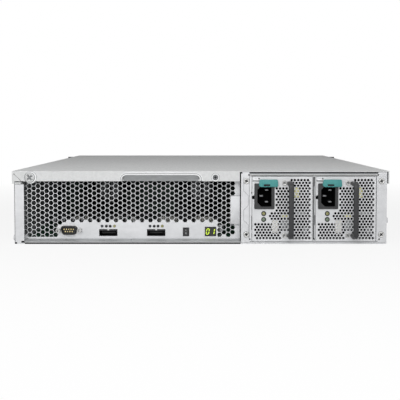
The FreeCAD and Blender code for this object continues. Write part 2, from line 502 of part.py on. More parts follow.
# Expander board on its feet, with a finned heat sink.
expander = new_body("expander_board")
EXP_REAR = f"({PANEL_BACK} + seat_gap)"
EXP_LEFT, EXP_RIGHT = f"({PANEL_LEFT} + seat_gap)", f"({CAGE_INNER} - seat_gap)"
EXP_MID = f"(({EXP_LEFT} + {EXP_RIGHT}) / 2)"
SINK_Y = f"({EXP_REAR} + expander_depth / 2)"
grow(expander, "board", "XY", f"{BOARD_TOP} - board_sheet", BOARD_TOP,
     [box(EXP_LEFT, EXP_RIGHT, EXP_REAR, f"{EXP_REAR} + expander_depth")])
grow(expander, "standoffs", "XY", "pan_sheet", f"{BOARD_TOP} - board_sheet / 2", [
    hexagon(f"({x})", f"({y})", "2 * expander_foot_radius")
    for x in (f"{EXP_LEFT} + 4 * expander_foot_radius", f"{EXP_RIGHT} - 4 * expander_foot_radius")
    for y in (f"{EXP_REAR} + 4 * expander_foot_radius", f"{EXP_REAR} + expander_depth - 4 * expander_foot_radius")
])
SINK_LEFT = f"({EXP_MID} - sink_size / 2)"
grow(expander, "sink_base", "XY", f"{BOARD_TOP} - board_sheet / 2", f"{BOARD_TOP} + 2 * sink_fin",
     [around(EXP_MID, SINK_Y, "sink_size", "sink_size")])
fin = grow(expander, "sink_fins", "XY", f"{BOARD_TOP} + sink_fin", f"{BOARD_TOP} + sink_height",
           [box(SINK_LEFT, f"{SINK_LEFT} + sink_fin", f"{SINK_Y} - sink_size / 2", f"{SINK_Y} + sink_size / 2")])
repeat(expander, "sink_fin_row", fin, [("X", "(sink_size - sink_fin) / (sink_fin_count - 1)", "sink_fin_count")])

# Power supply cage: a tube with a divider, a rear frame round the two bays whose left edge turns in to a tab that
# laps over the rear panel.
cage = new_body("psu_cage")
grow(cage, "tube", "XZ", REAR, f"{REAR} + cage_depth",
     [box(f"{BAY1_LEFT} - pan_sheet", f"{BAY2_RIGHT} + pan_sheet", SEAT, f"{BAY_TOP} + pan_sheet")])
grow(cage, "frame", "XZ", REAR, f"{REAR} + pan_sheet", [box(CAGE_LEFT, SIDE, SEAT, LOFT)])
cut(cage, "bays", "XZ", f"{REAR} - pan_sheet", f"{REAR} + cage_depth + pan_sheet", [
    box(BAY1_LEFT, BAY1_RIGHT, BAY_FLOOR, BAY_TOP), box(BAY2_LEFT, BAY2_RIGHT, BAY_FLOOR, BAY_TOP),
])
TAB_FACE = f"({PANEL} - seat_gap)"
grow(cage, "frame_return", "XZ", REAR, TAB_FACE, [box(CAGE_LEFT, f"{CAGE_LEFT} + pan_sheet", SEAT, LOFT)])
grow(cage, "panel_tab", "XZ", f"{TAB_FACE} - pan_sheet", TAB_FACE,
     [box(f"{CAGE_LEFT} - cage_tab_width", f"{CAGE_LEFT} + pan_sheet", "cage_tab_bottom", "cage_tab_top")])
soften(cage, "tab_corners", "Y", [
    (f"{CAGE_LEFT} - cage_tab_width", "cage_tab_bottom"), (f"{CAGE_LEFT} - cage_tab_width", "cage_tab_top"),
], "pan_sheet")

# Heads of the four screws that hold the cage, two at each side of its frame.
screws = new_body("cage_screws")
grow(screws, "heads", "XZ", f"{REAR} - cage_screw_head_length", REAR, [], [
    (x, z, "cage_screw_head") for x in (f"{CAGE_LEFT} + cage_screw_x", f"{SIDE} - cage_screw_x")
    for z in ("cage_screw_low", "cage_screw_high")
])

# Power supply, built at the left bay: its own left and bottom edges are its zero across and up.
PSU_X, PSU_Z = f"({BAY1_LEFT} + psu_gap)", f"({BAY_FLOOR} + psu_gap)"
PSU_STEP = f"({BAY} + cage_divider)"
SLEEVE_W, SLEEVE_H = "(inlet_cavity_width + 2 * inlet_wall)", "(inlet_cavity_height + 2 * inlet_wall)"

case = new_body("psu_1_case")
grow(case, "block", "XZ", PSU_BACK, f"{PSU_BACK} + psu_length", [box("0", "psu_width", "0", "psu_height")])
cut(case, "hollow", "XZ", f"{PSU_BACK} - psu_sheet", f"{PSU_BACK} + psu_length - psu_sheet",
    [box("psu_sheet", "psu_width - psu_sheet", "psu_sheet", "psu_height - psu_sheet")])
PSU_END = f"({PSU_BACK} + psu_length)"
outlet = cut(case, "end_slot", "XZ", f"{PSU_END} - 2 * psu_sheet", f"{PSU_END} + psu_sheet",
             [box("8 * psu_sheet", "11 * psu_sheet", "psu_height / 2", "psu_height - 8 * psu_sheet")])
repeat(case, "end_slots", outlet, [("X", "(psu_width - 19 * psu_sheet) / 7", "8")])

face = new_body("psu_1_faceplate")
grow(face, "plate", "XZ", REAR, PSU_BACK, [box("0", "psu_width", "0", "psu_height")])
cut(face, "openings", "XZ", f"{REAR} - psu_sheet", f"{REAR} + 2 * psu_sheet", [
    around("inlet_x", "inlet_z", f"({SLEEVE_W} + running_gap)", f"({SLEEVE_H} + running_gap)"),
    box("arm_left - seat_gap", "arm_left + latch_left + latch_travel + seat_gap", "arm_level - seat_gap",
        "arm_level + arm_sheet + seat_gap"),
    box("arm_left - seat_gap", "arm_left + arm_leg_width + latch_travel + seat_gap", "hook_bottom - seat_gap",
        "hook_bottom + hook_height + seat_gap"),
    hexagon("led_x", "led_z_low", "2 * (led_radius + seat_gap)"),
    hexagon("led_x", "(led_z_low + led_pitch)", "2 * (led_radius + seat_gap)"),
])

# Air holes of the faceplate: a tall field right of the handle, one beside the inlet and one along the foot.
GRILLE_COLUMN = "(grille_pitch * sqrt(3) / 2)"
GRILLE_FLAT = "grille_pitch - grille_web"


def grille(name, left, right, bottom, top):
    """Hexagonal air holes, in columns of which every other one is half a pitch higher."""
    columns = int(value(f"({right} - {left}) / {GRILLE_COLUMN}")) + 1
    for parity in range(min(2, columns)):
        rows = int(value(f"({top} - {bottom} - {parity} * grille_pitch / 2) / grille_pitch")) + 1
        hole = cut(face, f"{name}_{parity}", "XZ", f"{REAR} - psu_sheet", f"{REAR} + 2 * psu_sheet", [
            hexagon(f"({left} + {parity} * {GRILLE_COLUMN})",
                    f"({bottom} + {parity} * grille_pitch / 2 + {n} * grille_pitch)", GRILLE_FLAT)
            for n in range(rows)
        ])
        count = (columns - parity + 1) // 2
        if count > 1:
            repeat(face, f"{name}_{parity}_row", hole, [("X", f"2 * {GRILLE_COLUMN}", str(count))])


EDGE = "(grille_margin + grille_pitch / 2)"
grille("grille_tall", f"grille_right_left", f"(psu_width - {EDGE})", EDGE, f"(psu_height - {EDGE})")
grille("grille_middle", "grille_middle_left + grille_pitch / 2", f"(handle_x - handle_width / 2 - grille_pitch / 2)",
       "grille_middle_bottom", "grille_middle_top")
grille("grille_foot", f"({EDGE} + psu_sheet)", f"(handle_x - 2 * handle_width - grille_pitch / 2)",
       EDGE, "grille_low_top")

inlet = new_body("psu_1_inlet")
grow(inlet, "lip", "XZ", f"{REAR} - inlet_lip", REAR,
     [around("inlet_x", "inlet_z", "inlet_width", "inlet_height")])
grow(inlet, "sleeve", "XZ", REAR, f"{REAR} + inlet_cavity_depth + inlet_wall",
     [around("inlet_x", "inlet_z", SLEEVE_W, SLEEVE_H)])
C_L, C_R = "(inlet_x - inlet_cavity_width / 2)", "(inlet_x + inlet_cavity_width / 2)"
C_B, C_T = "(inlet_z - inlet_cavity_height / 2)", "(inlet_z + inlet_cavity_height / 2)"
cut(inlet, "cavity", "XZ", f"{REAR} - 2 * inlet_lip", f"{REAR} + inlet_cavity_depth", [[
    (f"{C_L} + inlet_corner", C_B), (C_R, C_B), (C_R, C_T), (f"{C_L} + inlet_corner", C_T),
    (C_L, f"{C_T} - inlet_corner"), (C_L, f"{C_B} + inlet_corner"),
]])
grow(inlet, "blades", "XZ", f"{REAR} + inlet_pin_recess", f"{REAR} + inlet_cavity_depth + inlet_wall / 2", [
    around("(inlet_x - inlet_pin_offset)", "inlet_z", "inlet_pin_wide", "inlet_pin_thin"),
    around("(inlet_x + inlet_pin_offset)", "(inlet_z - inlet_pin_pitch / 2)", "inlet_pin_wide", "inlet_pin_thin"),
    around("(inlet_x + inlet_pin_offset)", "(inlet_z + inlet_pin_pitch / 2)", "inlet_pin_wide", "inlet_pin_thin"),
])
soften(inlet, "lip_corners", "Y", [
    (f"inlet_x {a} inlet_width / 2", f"inlet_z {b} inlet_height / 2") for a in "-+" for b in "-+"
], "inlet_lip_bevel", chamfer=True)

# Pull handle: a bow that stands off the faceplate, screwed on from inside.
handle = new_body("psu_1_handle")
H_OUT = f"({REAR} - handle_reach)"
H_IN = f"({H_OUT} + handle_thickness)"
grow(handle, "bow", "YZ", "handle_x - handle_width / 2", "handle_x + handle_width / 2", [[
    (REAR, "handle_bottom"), (H_OUT, "handle_bottom"), (H_OUT, "handle_top"), (REAR, "handle_top"),
    (REAR, "handle_top - handle_thickness"), (H_IN, "handle_top - handle_thickness"),
    (H_IN, "handle_bottom + handle_thickness"), (REAR, "handle_bottom + handle_thickness"),
]])
soften(handle, "outer_bends", "X", [(H_OUT, "handle_bottom"), (H_OUT, "handle_top")], "handle_corner")
soften(handle, "inner_bends", "X", [
    (H_IN, "handle_bottom + handle_thickness"), (H_IN, "handle_top - handle_thickness"),
], "handle_inner_corner")

# Release latch: finger tab outside, spring arm through the faceplate and down to its hook at the left edge.
latch = new_body("psu_1_latch")
TAB_BACK = f"({REAR} - latch_stand_off)"
LEG_REAR = f"({PSU_BACK} + seat_gap)"
LATCH_RIGHT = "(latch_left + latch_width)"
grow(latch, "tab", "XZ", f"{TAB_BACK} - latch_sheet", TAB_BACK, [
    box("latch_left", LATCH_RIGHT, "latch_bottom", "latch_top"),
    box("latch_left + latch_slot_left", "latch_left + latch_slot_left + latch_slot_width",
        "latch_bottom + latch_slot_rise", "latch_bottom + latch_slot_rise + latch_slot_height"),
])
grow(latch, "arm", "XZ", f"{TAB_BACK} - latch_sheet / 2", f"{LEG_REAR} + arm_leg_depth",
     [box("arm_left", "arm_left + latch_left", "arm_level", "arm_level + arm_sheet")])
grow(latch, "leg", "XZ", LEG_REAR, f"{LEG_REAR} + arm_leg_depth",
     [box("arm_left", "arm_left + arm_leg_width", "hook_bottom", "arm_level + arm_sheet")])
grow(latch, "hook", "XZ", f"{REAR} + seat_gap", f"{LEG_REAR} + arm_leg_depth",
     [box("arm_left", "arm_left + arm_leg_width", "hook_bottom", "hook_bottom + hook_height")])
soften(latch, "tab_corners", "Y", [("latch_left", "latch_bottom"), (LATCH_RIGHT, "latch_bottom")], "latch_corner")

leds = new_body("psu_1_leds")
LED_SPOTS = [("led_x", f"led_z_low + {n} * led_pitch") for n in range(2)]
grow(leds, "lenses", "XZ", f"{REAR} - led_lip", f"{REAR} + led_depth", [],
     [(x, z, "led_radius") for x, z in LED_SPOTS])

supply = [case, face, inlet, handle, latch, leds]
for piece in supply:
    place(piece, PSU_X, "0", PSU_Z)
second_supply = [copy_of(p, p.Label.replace("psu_1", "psu_2"), f"{PSU_X} + {PSU_STEP}", "0", PSU_Z)
                 for p in supply]

# Power distribution board across the inner end of the cage, with a socket that meets each supply.
power = new_body("power_board")
POWER_Y = f"({REAR} + cage_depth + power_board_gap)"
grow(power, "board", "XZ", POWER_Y, f"{POWER_Y} + board_sheet", [box(BAY1_LEFT, BAY2_RIGHT, SEAT, BAY_TOP)])
grow(power, "sockets", "XZ", f"{PSU_BACK} + psu_length + power_board_gap", f"{POWER_Y} + board_sheet / 2", [
    around(f"({x} + {BAY} / 2)", f"({BAY_FLOOR} + power_plug_height)", "power_plug_width", "power_plug_height")
    for x in (BAY1_LEFT, BAY2_LEFT)
])

# Fan row: three frames with struts, each with a rotor of pitched blades.
frames = new_body("fan_frames")
FAN_Z = f"({SEAT} + fan_size / 2)"
FAN_FRONT = f"({FAN_REAR} + fan_depth)"
FAN_X = "(-(fan_count - 1) / 2 * fan_pitch)"
first = grow(frames, "frame", "XZ", FAN_REAR, FAN_FRONT,
             [around(FAN_X, FAN_Z, "fan_size", "fan_size")], [(FAN_X, FAN_Z, "fan_bore / 2")])
struts = grow(frames, "struts", "XZ", FAN_REAR, f"{FAN_REAR} + fan_strut_depth",
              [around(FAN_X, FAN_Z, "fan_strut", "(fan_bore + fan_strut)")])
row_of_fans = frames.newObject("PartDesign::LinearPattern", "fan_row")
row_of_fans.Originals = [first, struts]
row_of_fans.Direction = (plane(frames, "X_Axis"), [""])
row_of_fans.setExpression("Length", bound("(fan_count - 1) * fan_pitch"))
row_of_fans.setExpression("Occurrences", bound("fan_count"))
frames.Tip = row_of_fans

rotor = new_body("fan_rotor_1")
HUB_REAR = f"({FAN_REAR} + fan_strut_depth + seat_gap)"
grow(rotor, "hub", "XZ", HUB_REAR, f"{HUB_REAR} + fan_hub_length", [], [("0", "0", "fan_hub")])
BLADE_Y = f"({HUB_REAR} + fan_hub_length / 2)"


ALONG = ("blade_chord / 2 * cos(blade_pitch)", "blade_chord / 2 * sin(blade_pitch)")
OFF = ("blade_thickness / 2 * sin(blade_pitch)", "blade_thickness / 2 * cos(blade_pitch)")
blade = grow(rotor, "blade", "XY", "fan_hub - 2 * blade_thickness", "fan_bore / 2 - fan_tip_gap - blade_thickness", [
    [(f"{s} {ALONG[0]} {t} {OFF[0]}", f"{BLADE_Y} {s} {ALONG[1]} {u} {OFF[1]}")
     for s, t, u in (("-", "+", "-"), ("+", "+", "-"), ("+", "-", "+"), ("-", "-", "+"))]
])
blades = rotor.newObject("PartDesign::PolarPattern", "blades")
blades.Originals = [blade]
blades.Axis = (plane(rotor, "Y_Axis"), [""])
blades.Angle = 360
blades.setExpression("Occurrences", bound("blade_count"))
rotor.Tip = blades
place(rotor, FAN_X, "0", FAN_Z)
rotors = [copy_of(rotor, f"fan_rotor_{n}", f"{FAN_X} + {n - 1} * fan_pitch", "0", FAN_Z)
          for n in range(2, int(value("fan_count")) + 1)]

# Drive cage: an open grid of bays, four columns by three rows.
bays = new_body("drive_cage")
DRIVE_CAGE_FRONT = f"({DRIVE_CAGE_REAR} + drive_cage_depth)"
grow(bays, "block", "XZ", DRIVE_CAGE_REAR, DRIVE_CAGE_FRONT,
     [box(f"-{INNER_SIDE} + seat_gap", f"{INNER_SIDE} - seat_gap", SEAT, LOFT)])
bay = cut(bays, "bay", "XZ", f"{DRIVE_CAGE_REAR} - cage_wall", f"{DRIVE_CAGE_FRONT} + cage_wall",
          [box(f"{FIRST_COLUMN} - {DRIVE_BAY_WIDTH} / 2", f"{FIRST_COLUMN} + {DRIVE_BAY_WIDTH} / 2", FIRST_ROW,
               f"{FIRST_ROW} + {DRIVE_BAY_HEIGHT}")])
repeat(bays, "bay_grid", bay, [("X", COLUMN_STEP, "bay_columns"), ("Z", ROW_STEP, "bay_rows")])

# Backplane across the rear of the drive cage: a plug for each disk and an air window above it.
backplane = new_body("backplane")
grow(backplane, "board", "XZ", BP_REAR, f"{BP_REAR} + board_sheet",
     [box(f"-{INNER_SIDE} + backplane_side_margin", f"{INNER_SIDE} - backplane_side_margin", SEAT,
          f"{LOFT} - seat_gap")])
window = cut(backplane, "window", "XZ", f"{BP_REAR} - board_sheet", f"{BP_REAR} + 2 * board_sheet",
             [box(f"{FIRST_COLUMN} - window_width / 2", f"{FIRST_COLUMN} + window_width / 2",
                  f"{FIRST_ROW} + window_rise", f"{FIRST_ROW} + window_rise + window_height")])
repeat(backplane, "windows", window, [("X", COLUMN_STEP, "bay_columns"), ("Z", ROW_STEP, "bay_rows")])
plug = grow(backplane, "plug", "XZ", f"{BP_REAR} + board_sheet / 2", f"{BP_REAR} + board_sheet + plug_reach",
            [box(f"{FIRST_COLUMN} - plug_width / 2", f"{FIRST_COLUMN} + plug_width / 2",
                 f"{FIRST_ROW} + plug_rise", f"{FIRST_ROW} + plug_rise + plug_height")])
repeat(backplane, "plugs", plug, [("X", COLUMN_STEP, "bay_columns"), ("Z", ROW_STEP, "bay_rows")])

# Drive carrier: slotted bezel with a recess for its lever, two rails, and the disk between them.
carrier = new_body("drive_carrier_1")
HALF = f"({DRIVE_BAY_WIDTH} / 2 - carrier_gap)"
TALL = f"({DRIVE_BAY_HEIGHT} - 2 * carrier_gap)"
BEZEL_REAR = f"({FRONT} - bezel_depth)"
DISK_FRONT = f"({BEZEL_REAR} - seat_gap)"
DISK_REAR = f"({DISK_FRONT} - disk_length)"
MIDDLE = f"({TALL} / 2)"
RECESS_LEFT = "(-lever_left - lever_gap)"
RECESS_RIGHT = f"({RECESS_LEFT} + 2 * lever_gap + lever_length)"
RECESS_FLOOR = f"({FRONT} - lever_sheet - 2 * lever_gap)"
grow(carrier, "bezel", "XZ", BEZEL_REAR, FRONT, [box(f"-{HALF}", HALF, "0", TALL)])
grow(carrier, "rails", "XZ", DISK_REAR, f"{BEZEL_REAR} + rail_width", [
    box(f"-{HALF}", f"-{HALF} + rail_width", f"{MIDDLE} - rail_height / 2", f"{MIDDLE} + rail_height / 2"),
    box(f"{HALF} - rail_width", HALF, f"{MIDDLE} - rail_height / 2", f"{MIDDLE} + rail_height / 2"),
])
cut(carrier, "lever_recess", "XZ", RECESS_FLOOR, f"{FRONT} + lever_gap", [
    box(RECESS_LEFT, f"{RECESS_RIGHT} + finger_slot", f"{MIDDLE} - lever_height / 2 - lever_gap",
        f"{MIDDLE} + lever_height / 2 + lever_gap")
])
slot = cut(carrier, "air_slot", "XZ", f"{BEZEL_REAR} - lever_gap", f"{RECESS_FLOOR} + lever_gap", [
    around("(-(bezel_slot_count - 1) / 2 * bezel_slot_pitch)", MIDDLE, "bezel_slot_width", "(lever_height * 2 / 3)")
])
repeat(carrier, "air_slots", slot, [("X", "bezel_slot_pitch", "bezel_slot_count")])
grow(carrier, "disk", "XZ", DISK_REAR, DISK_FRONT,
     [around("0", MIDDLE, "disk_width", "disk_height")])

# Lever: swings out about an upright pivot at its left end.
lever = new_body("carrier_lever_1")
PIVOT_X = "(-lever_left + lever_sheet / 2)"
PIVOT_Y = f"({FRONT} - lever_gap - lever_sheet / 2)"
LEVER_REAR, LEVER_FRONT = f"({PIVOT_Y} - lever_sheet / 2)", f"({PIVOT_Y} + lever_sheet / 2)"
grow(lever, "bar", "XZ", LEVER_REAR, LEVER_FRONT, [
    box("-lever_left", "-lever_left + lever_length", f"{MIDDLE} - lever_height / 2",
        f"{MIDDLE} + lever_height / 2"),
    box("-lever_left + 2 * lever_sheet", "-lever_left + lever_length - 2 * lever_sheet",
        f"{MIDDLE} - lever_height / 4", f"{MIDDLE} + lever_height / 4"),
])
soften(lever, "pivot_round", "Z", [("-lever_left", LEVER_REAR), ("-lever_left", LEVER_FRONT)],
       "lever_sheet / 2 - lever_gap / 2")

columns, rows = int(value("bay_columns")), int(value("bay_rows"))
places = [(r * columns + c + 1, f"{FIRST_COLUMN} + {c} * {COLUMN_STEP}",
           f"{FIRST_ROW} + {r} * {ROW_STEP} + carrier_gap") for r in range(rows) for c in range(columns)]
place(carrier, places[0][1], "0", places[0][2])
place(lever, places[0][1], "0", places[0][2])
carriers = []
for number, x, z in places[1:]:
    carriers.append(copy_of(carrier, f"drive_carrier_{number}", x, "0", z))
    carriers.append(copy_of(lever, f"carrier_lever_{number}", x, "0", z))

# Rack ears: a slotted plate with a leg along the side wall.
ears = []
for hand, sign in (("left", -1), ("right", 1)):
    ear = new_body(f"rack_ear_{hand}")
    s = "-" if sign < 0 else ""

    def across(inner, outer):
        return (f"{s}({inner})", f"{s}({outer})") if sign > 0 else (f"{s}({outer})", f"{s}({inner})")

    lo, hi = across(SIDE, f"{SIDE} + ear_width")
    grow(ear, "plate", "XZ", f"{FRONT} - ear_sheet", FRONT,
         [box(lo, hi, "ear_margin", "body_height - ear_margin")])
    lo, hi = across(SIDE, f"{SIDE} + ear_leg_sheet")
    grow(ear, "leg", "YZ", lo, hi,
         [box(f"{FRONT} - ear_leg_length", FRONT, "ear_margin", f"{SKIRT} - running_gap")])
    holes = [f"body_height / 2 {t} ear_hole_rise / 2" for t in "-+"]
    waist = "(ear_slot_length - 2 * ear_slot_radius)"
    spot = f"({s}({SIDE} + ear_width - ear_hole_edge))"
    cut(ear, "slot_waists", "XZ", f"{FRONT} - 2 * ear_sheet", f"{FRONT} + ear_sheet",
        [around(spot, f"({z})", waist, "(2 * ear_slot_radius)") for z in holes])
    cut(ear, "slot_ends", "XZ", f"{FRONT} - 2 * ear_sheet", f"{FRONT} + ear_sheet", [],
        [(f"{spot} {t} {waist} / 2", z, "ear_slot_radius") for z in holes for t in "-+"])
    ears.append(ear)

doc.recompute()

# Every piece must have come out sound before anything is written.
pieces = [pan, cover, doc.getObject("thumbscrew_left"), doc.getObject("thumbscrew_right"), panel, serial, jacks,
          ports, pipes, housing, rocker, display, expander, cage, screws, *supply, *second_supply, power, frames, rotor,
          *rotors, bays, backplane, carrier, lever, *carriers, *ears]
for item in doc.Objects:
    if "Invalid" in item.State or "Error" in item.State:
        raise RuntimeError(f"{item.Name} failed: {item.State}")
    if item.TypeId in ("PartDesign::Pocket", "PartDesign::Groove"):
        before = item.BaseFeature.Shape.Volume
        if item.Shape.Volume > before - 0.01:
            raise RuntimeError(f"{item.Name} cuts nothing")
for piece in pieces:
    shape = Part.getShape(piece)
    if shape.isNull() or not shape.isValid():
        raise RuntimeError(f"{piece.Label} has no sound shape")

os.makedirs("parts", exist_ok=True)
for piece in pieces:
    Part.getShape(piece).exportStep(f"parts/{piece.Label}.step")
print(len(pieces), "pieces written")
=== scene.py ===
import json
import math

import bmesh
import bpy
from mathutils import Matrix, Vector


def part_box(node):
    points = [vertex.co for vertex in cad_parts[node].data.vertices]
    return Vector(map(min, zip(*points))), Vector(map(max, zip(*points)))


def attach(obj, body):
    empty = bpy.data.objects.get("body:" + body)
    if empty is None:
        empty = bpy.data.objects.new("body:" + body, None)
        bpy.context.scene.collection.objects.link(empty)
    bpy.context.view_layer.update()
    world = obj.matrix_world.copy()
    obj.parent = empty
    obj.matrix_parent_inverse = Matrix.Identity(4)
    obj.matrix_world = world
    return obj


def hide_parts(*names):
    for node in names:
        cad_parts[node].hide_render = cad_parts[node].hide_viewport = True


# Disk shelf enclosure seen from its rear: vented panel with ports, two power supplies in their cage, slide-off cover,
# and the drive carriers at the far end. Shapes are worked out in millimetres and become metres when a piece is kept.

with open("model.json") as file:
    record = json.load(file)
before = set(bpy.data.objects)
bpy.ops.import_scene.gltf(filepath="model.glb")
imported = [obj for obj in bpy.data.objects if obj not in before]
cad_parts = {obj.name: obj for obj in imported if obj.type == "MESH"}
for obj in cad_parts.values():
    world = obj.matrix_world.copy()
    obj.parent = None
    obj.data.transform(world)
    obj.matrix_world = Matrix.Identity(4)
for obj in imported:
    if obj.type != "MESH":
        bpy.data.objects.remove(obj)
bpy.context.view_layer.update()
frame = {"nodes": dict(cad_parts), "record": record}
MM = 0.001
RECORD = frame["record"]
OPENINGS = {o["name"]: [[c / MM for c in corner] for corner in o["box_m"]] for o in RECORD["physics"]["openings"]}


def box_mm(node):
    """Lowest and highest corner of a CAD node, in millimetres."""
    low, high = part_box(node)
    return low / MM, high / MM


def linear(code):
    """An sRGB hex colour as linear red, green, blue and alpha."""
    parts = [int(code[i:i + 2], 16) / 255 for i in (1, 3, 5)]
    return [c / 12.92 if c <= 0.04045 else ((c + 0.055) / 1.055) ** 2.4 for c in parts] + [1.0]


def add_node(tree, kind, inputs=None, **settings):
    """Adds a shader node with its settings; an input is a value or the socket that feeds it."""
    made = tree.nodes.new(kind)
    for name, setting in settings.items():
        setattr(made, name, setting)
    for socket, source in (inputs or {}).items():
        if isinstance(source, bpy.types.NodeSocket):
            tree.links.new(source, made.inputs[socket])
        else:
            made.inputs[socket].default_value = source
    return made


def start_finish(name, colour, metallic, roughness, **more):
    """A new material whose Principled shader has these constants; returns it with its tree and shader."""
    material = bpy.data.materials.new(name)
    material.use_nodes = True
    tree = material.node_tree
    shader = tree.nodes["Principled BSDF"]
    shader.inputs["Base Color"].default_value = linear(colour)
    shader.inputs["Metallic"].default_value = metallic
    shader.inputs["Roughness"].default_value = roughness
    for socket, setting in more.items():
        shader.inputs[socket.replace("_", " ")].default_value = setting
    material.diffuse_color = linear(colour)
    return material, tree, shader


FINISH = {}


def make_finish(key, name, colour, metallic, roughness, tones, grain_mm, stretch, gloss, bump_mm, **more):
    """Keeps a material under its key: colour between two tones, roughness between two levels and relief vary together
    over a real distance, which is longer along an axis the smaller its stretch."""
    material, tree, shader = start_finish(name, colour, metallic, roughness, **more)
    place = add_node(tree, "ShaderNodeTexCoord")
    turn = add_node(tree, "ShaderNodeMapping", {"Vector": place.outputs["Object"], "Scale": stretch})
    noise = add_node(tree, "ShaderNodeTexNoise", {"Vector": turn.outputs["Vector"], "Scale": 1 / (grain_mm * MM),
                                                  "Detail": 4.0, "Roughness": 0.6})
    colours = add_node(tree, "ShaderNodeValToRGB", {"Fac": noise.outputs["Fac"]})
    for stop, tone, position in zip(colours.color_ramp.elements, tones, (0.3, 0.7)):
        stop.color, stop.position = linear(tone), position
    shine = add_node(tree, "ShaderNodeMapRange", {"Value": noise.outputs["Fac"], "To Min": gloss[0],
                                                  "To Max": gloss[1]})
    relief = add_node(tree, "ShaderNodeBump", {"Height": noise.outputs["Fac"], "Strength": 1.0,
                                               "Distance": bump_mm * MM})
    tree.links.new(colours.outputs["Color"], shader.inputs["Base Color"])
    tree.links.new(shine.outputs["Result"], shader.inputs["Roughness"])
    tree.links.new(relief.outputs["Normal"], shader.inputs["Normal"])
    FINISH[key] = material


# Electro-galvanised sheet, as rolled: soft silver grey, satin, with faint cloudy zinc and a little grain.
make_finish("sheet", "galvanised_steel", "#d3d4d6", 0.45, 0.5,
            ("#cdced0", "#d9dadc"), 14.0, (1.0, 1.0, 1.6), (0.46, 0.56), 0.01)
# Pre-plated sheet with a clear film: flatter than the bare zinc, grain running front to back.
make_finish("cover", "pre_plated_cover_steel", "#e2e3e3", 0.0, 0.62,
            ("#dddede", "#e7e8e8"), 2.4, (1.0, 0.08, 1.0), (0.58, 0.68), 0.006, Specular_IOR_Level=0.12)
# Bright nickel on screws and shells: sharper reflections than the sheet, slightly warm.
make_finish("nickel", "nickel_plate", "#c2c2c0", 1.0, 0.32,
            ("#b6b6b4", "#cccccb"), 1.6, (1.0, 1.0, 1.0), (0.26, 0.4), 0.004)
# Cold-rolled spring strip: darker than the zinc, streaked along its length by the rolls.
make_finish("spring", "spring_steel", "#c4c5c6", 1.0, 0.34,
            ("#b6b8ba", "#cccdce"), 0.8, (0.1, 1.0, 1.0), (0.3, 0.42), 0.004)
# Tin over brass on the inlet's blades: dull grey, seen deep in an unlit cavity.
make_finish("blade", "tinned_brass", "#77787a", 1.0, 0.45,
            ("#6c6d6f", "#848587"), 0.8, (1.0, 0.4, 1.0), (0.4, 0.54), 0.004)
# Flame-retardant ABS straight from a spark-eroded mould: deep black with a fine, dull grain.
make_finish("black", "moulded_black_abs", "#17181a", 0.0, 0.5,
            ("#131416", "#1d1e20"), 0.5, (1.0, 1.0, 1.0), (0.44, 0.6), 0.02)
# Thermoset-like polyamide of the inlet: dark grey rather than black, smoother than the ABS.
make_finish("inlet", "moulded_grey_polyamide", "#28292b", 0.0, 0.42,
            ("#242527", "#2d2e30"), 0.7, (1.0, 1.0, 1.0), (0.36, 0.5), 0.01)
# Glass-filled nylon of the pull handles: charcoal, with a soft sheen on its rounded back.
make_finish("handle", "glass_filled_nylon", "#252628", 0.0, 0.48,
            ("#212224", "#2b2c2e"), 0.6, (1.0, 1.0, 0.3), (0.42, 0.56), 0.015)
# Dyed acetal of the release tabs: even teal, slightly waxy, lighter where the mould was polished.
make_finish("teal", "dyed_teal_acetal", "#4b9a97", 0.0, 0.42,
            ("#459294", "#52a19c"), 1.2, (1.0, 1.0, 1.0), (0.36, 0.5), 0.006, Specular_IOR_Level=0.4)
# Flash gold on contacts: warm yellow, quite sharp.
make_finish("gold", "gold_flash", "#f0dca0", 0.6, 0.4,
            ("#e8d292", "#f6e6b4"), 0.4, (1.0, 1.0, 1.0), (0.22, 0.34), 0.002)
# Solder mask over copper: dark green with paler track bundles about a millimetre wide.
make_finish("board", "green_solder_mask", "#15402a", 0.0, 0.35,
            ("#123824", "#1d5236"), 1.1, (1.0, 0.2, 1.0), (0.3, 0.42), 0.02)
# Die-cast disk housings and sinks: cool grey with a slightly pebbled skin.
make_finish("cast", "cast_aluminium", "#a9abad", 1.0, 0.48,
            ("#9ea0a3", "#b3b5b7"), 0.9, (1.0, 1.0, 1.0), (0.42, 0.58), 0.03)
# Black polyester powder on the rack ears: fine orange peel, semi-matt.
make_finish("ear", "black_powder_coat", "#222428", 0.0, 0.5,
            ("#1e2024", "#282a2e"), 0.8, (1.0, 1.0, 1.0), (0.44, 0.58), 0.04)
# Painted shade for the unlit inside of a supply, over its black board and film: near black, hardly reflects at all.
make_finish("inside", "black_film_and_painted_shade", "#060607", 0.0, 0.9,
            ("#040405", "#0b0b0c"), 3.0, (1.0, 1.0, 1.0), (0.85, 0.95), 0.02, Specular_IOR_Level=0.05)
# Polyester tape round a transformer: pale yellow with a slight gloss, wound in overlapping turns.
make_finish("tape", "yellow_winding_tape", "#e4dfa0", 0.0, 0.4,
            ("#d8d28e", "#ece8b2"), 2.5, (1.0, 1.0, 3.0), (0.34, 0.48), 0.03)
# Natural nylon connector housings: off-white and a little translucent to the eye.
make_finish("nylon", "natural_nylon", "#dddbd4", 0.0, 0.5,
            ("#d3d1c9", "#e5e3dd"), 1.5, (1.0, 1.0, 1.0), (0.44, 0.58), 0.01)
# Aluminium heat spreader inside a supply, dulled by the shade it stands in.
make_finish("foil", "dull_heat_spreader", "#97999b", 0.6, 0.5,
            ("#8c8e90", "#a3a5a7"), 1.0, (1.0, 1.0, 1.0), (0.46, 0.6), 0.01)
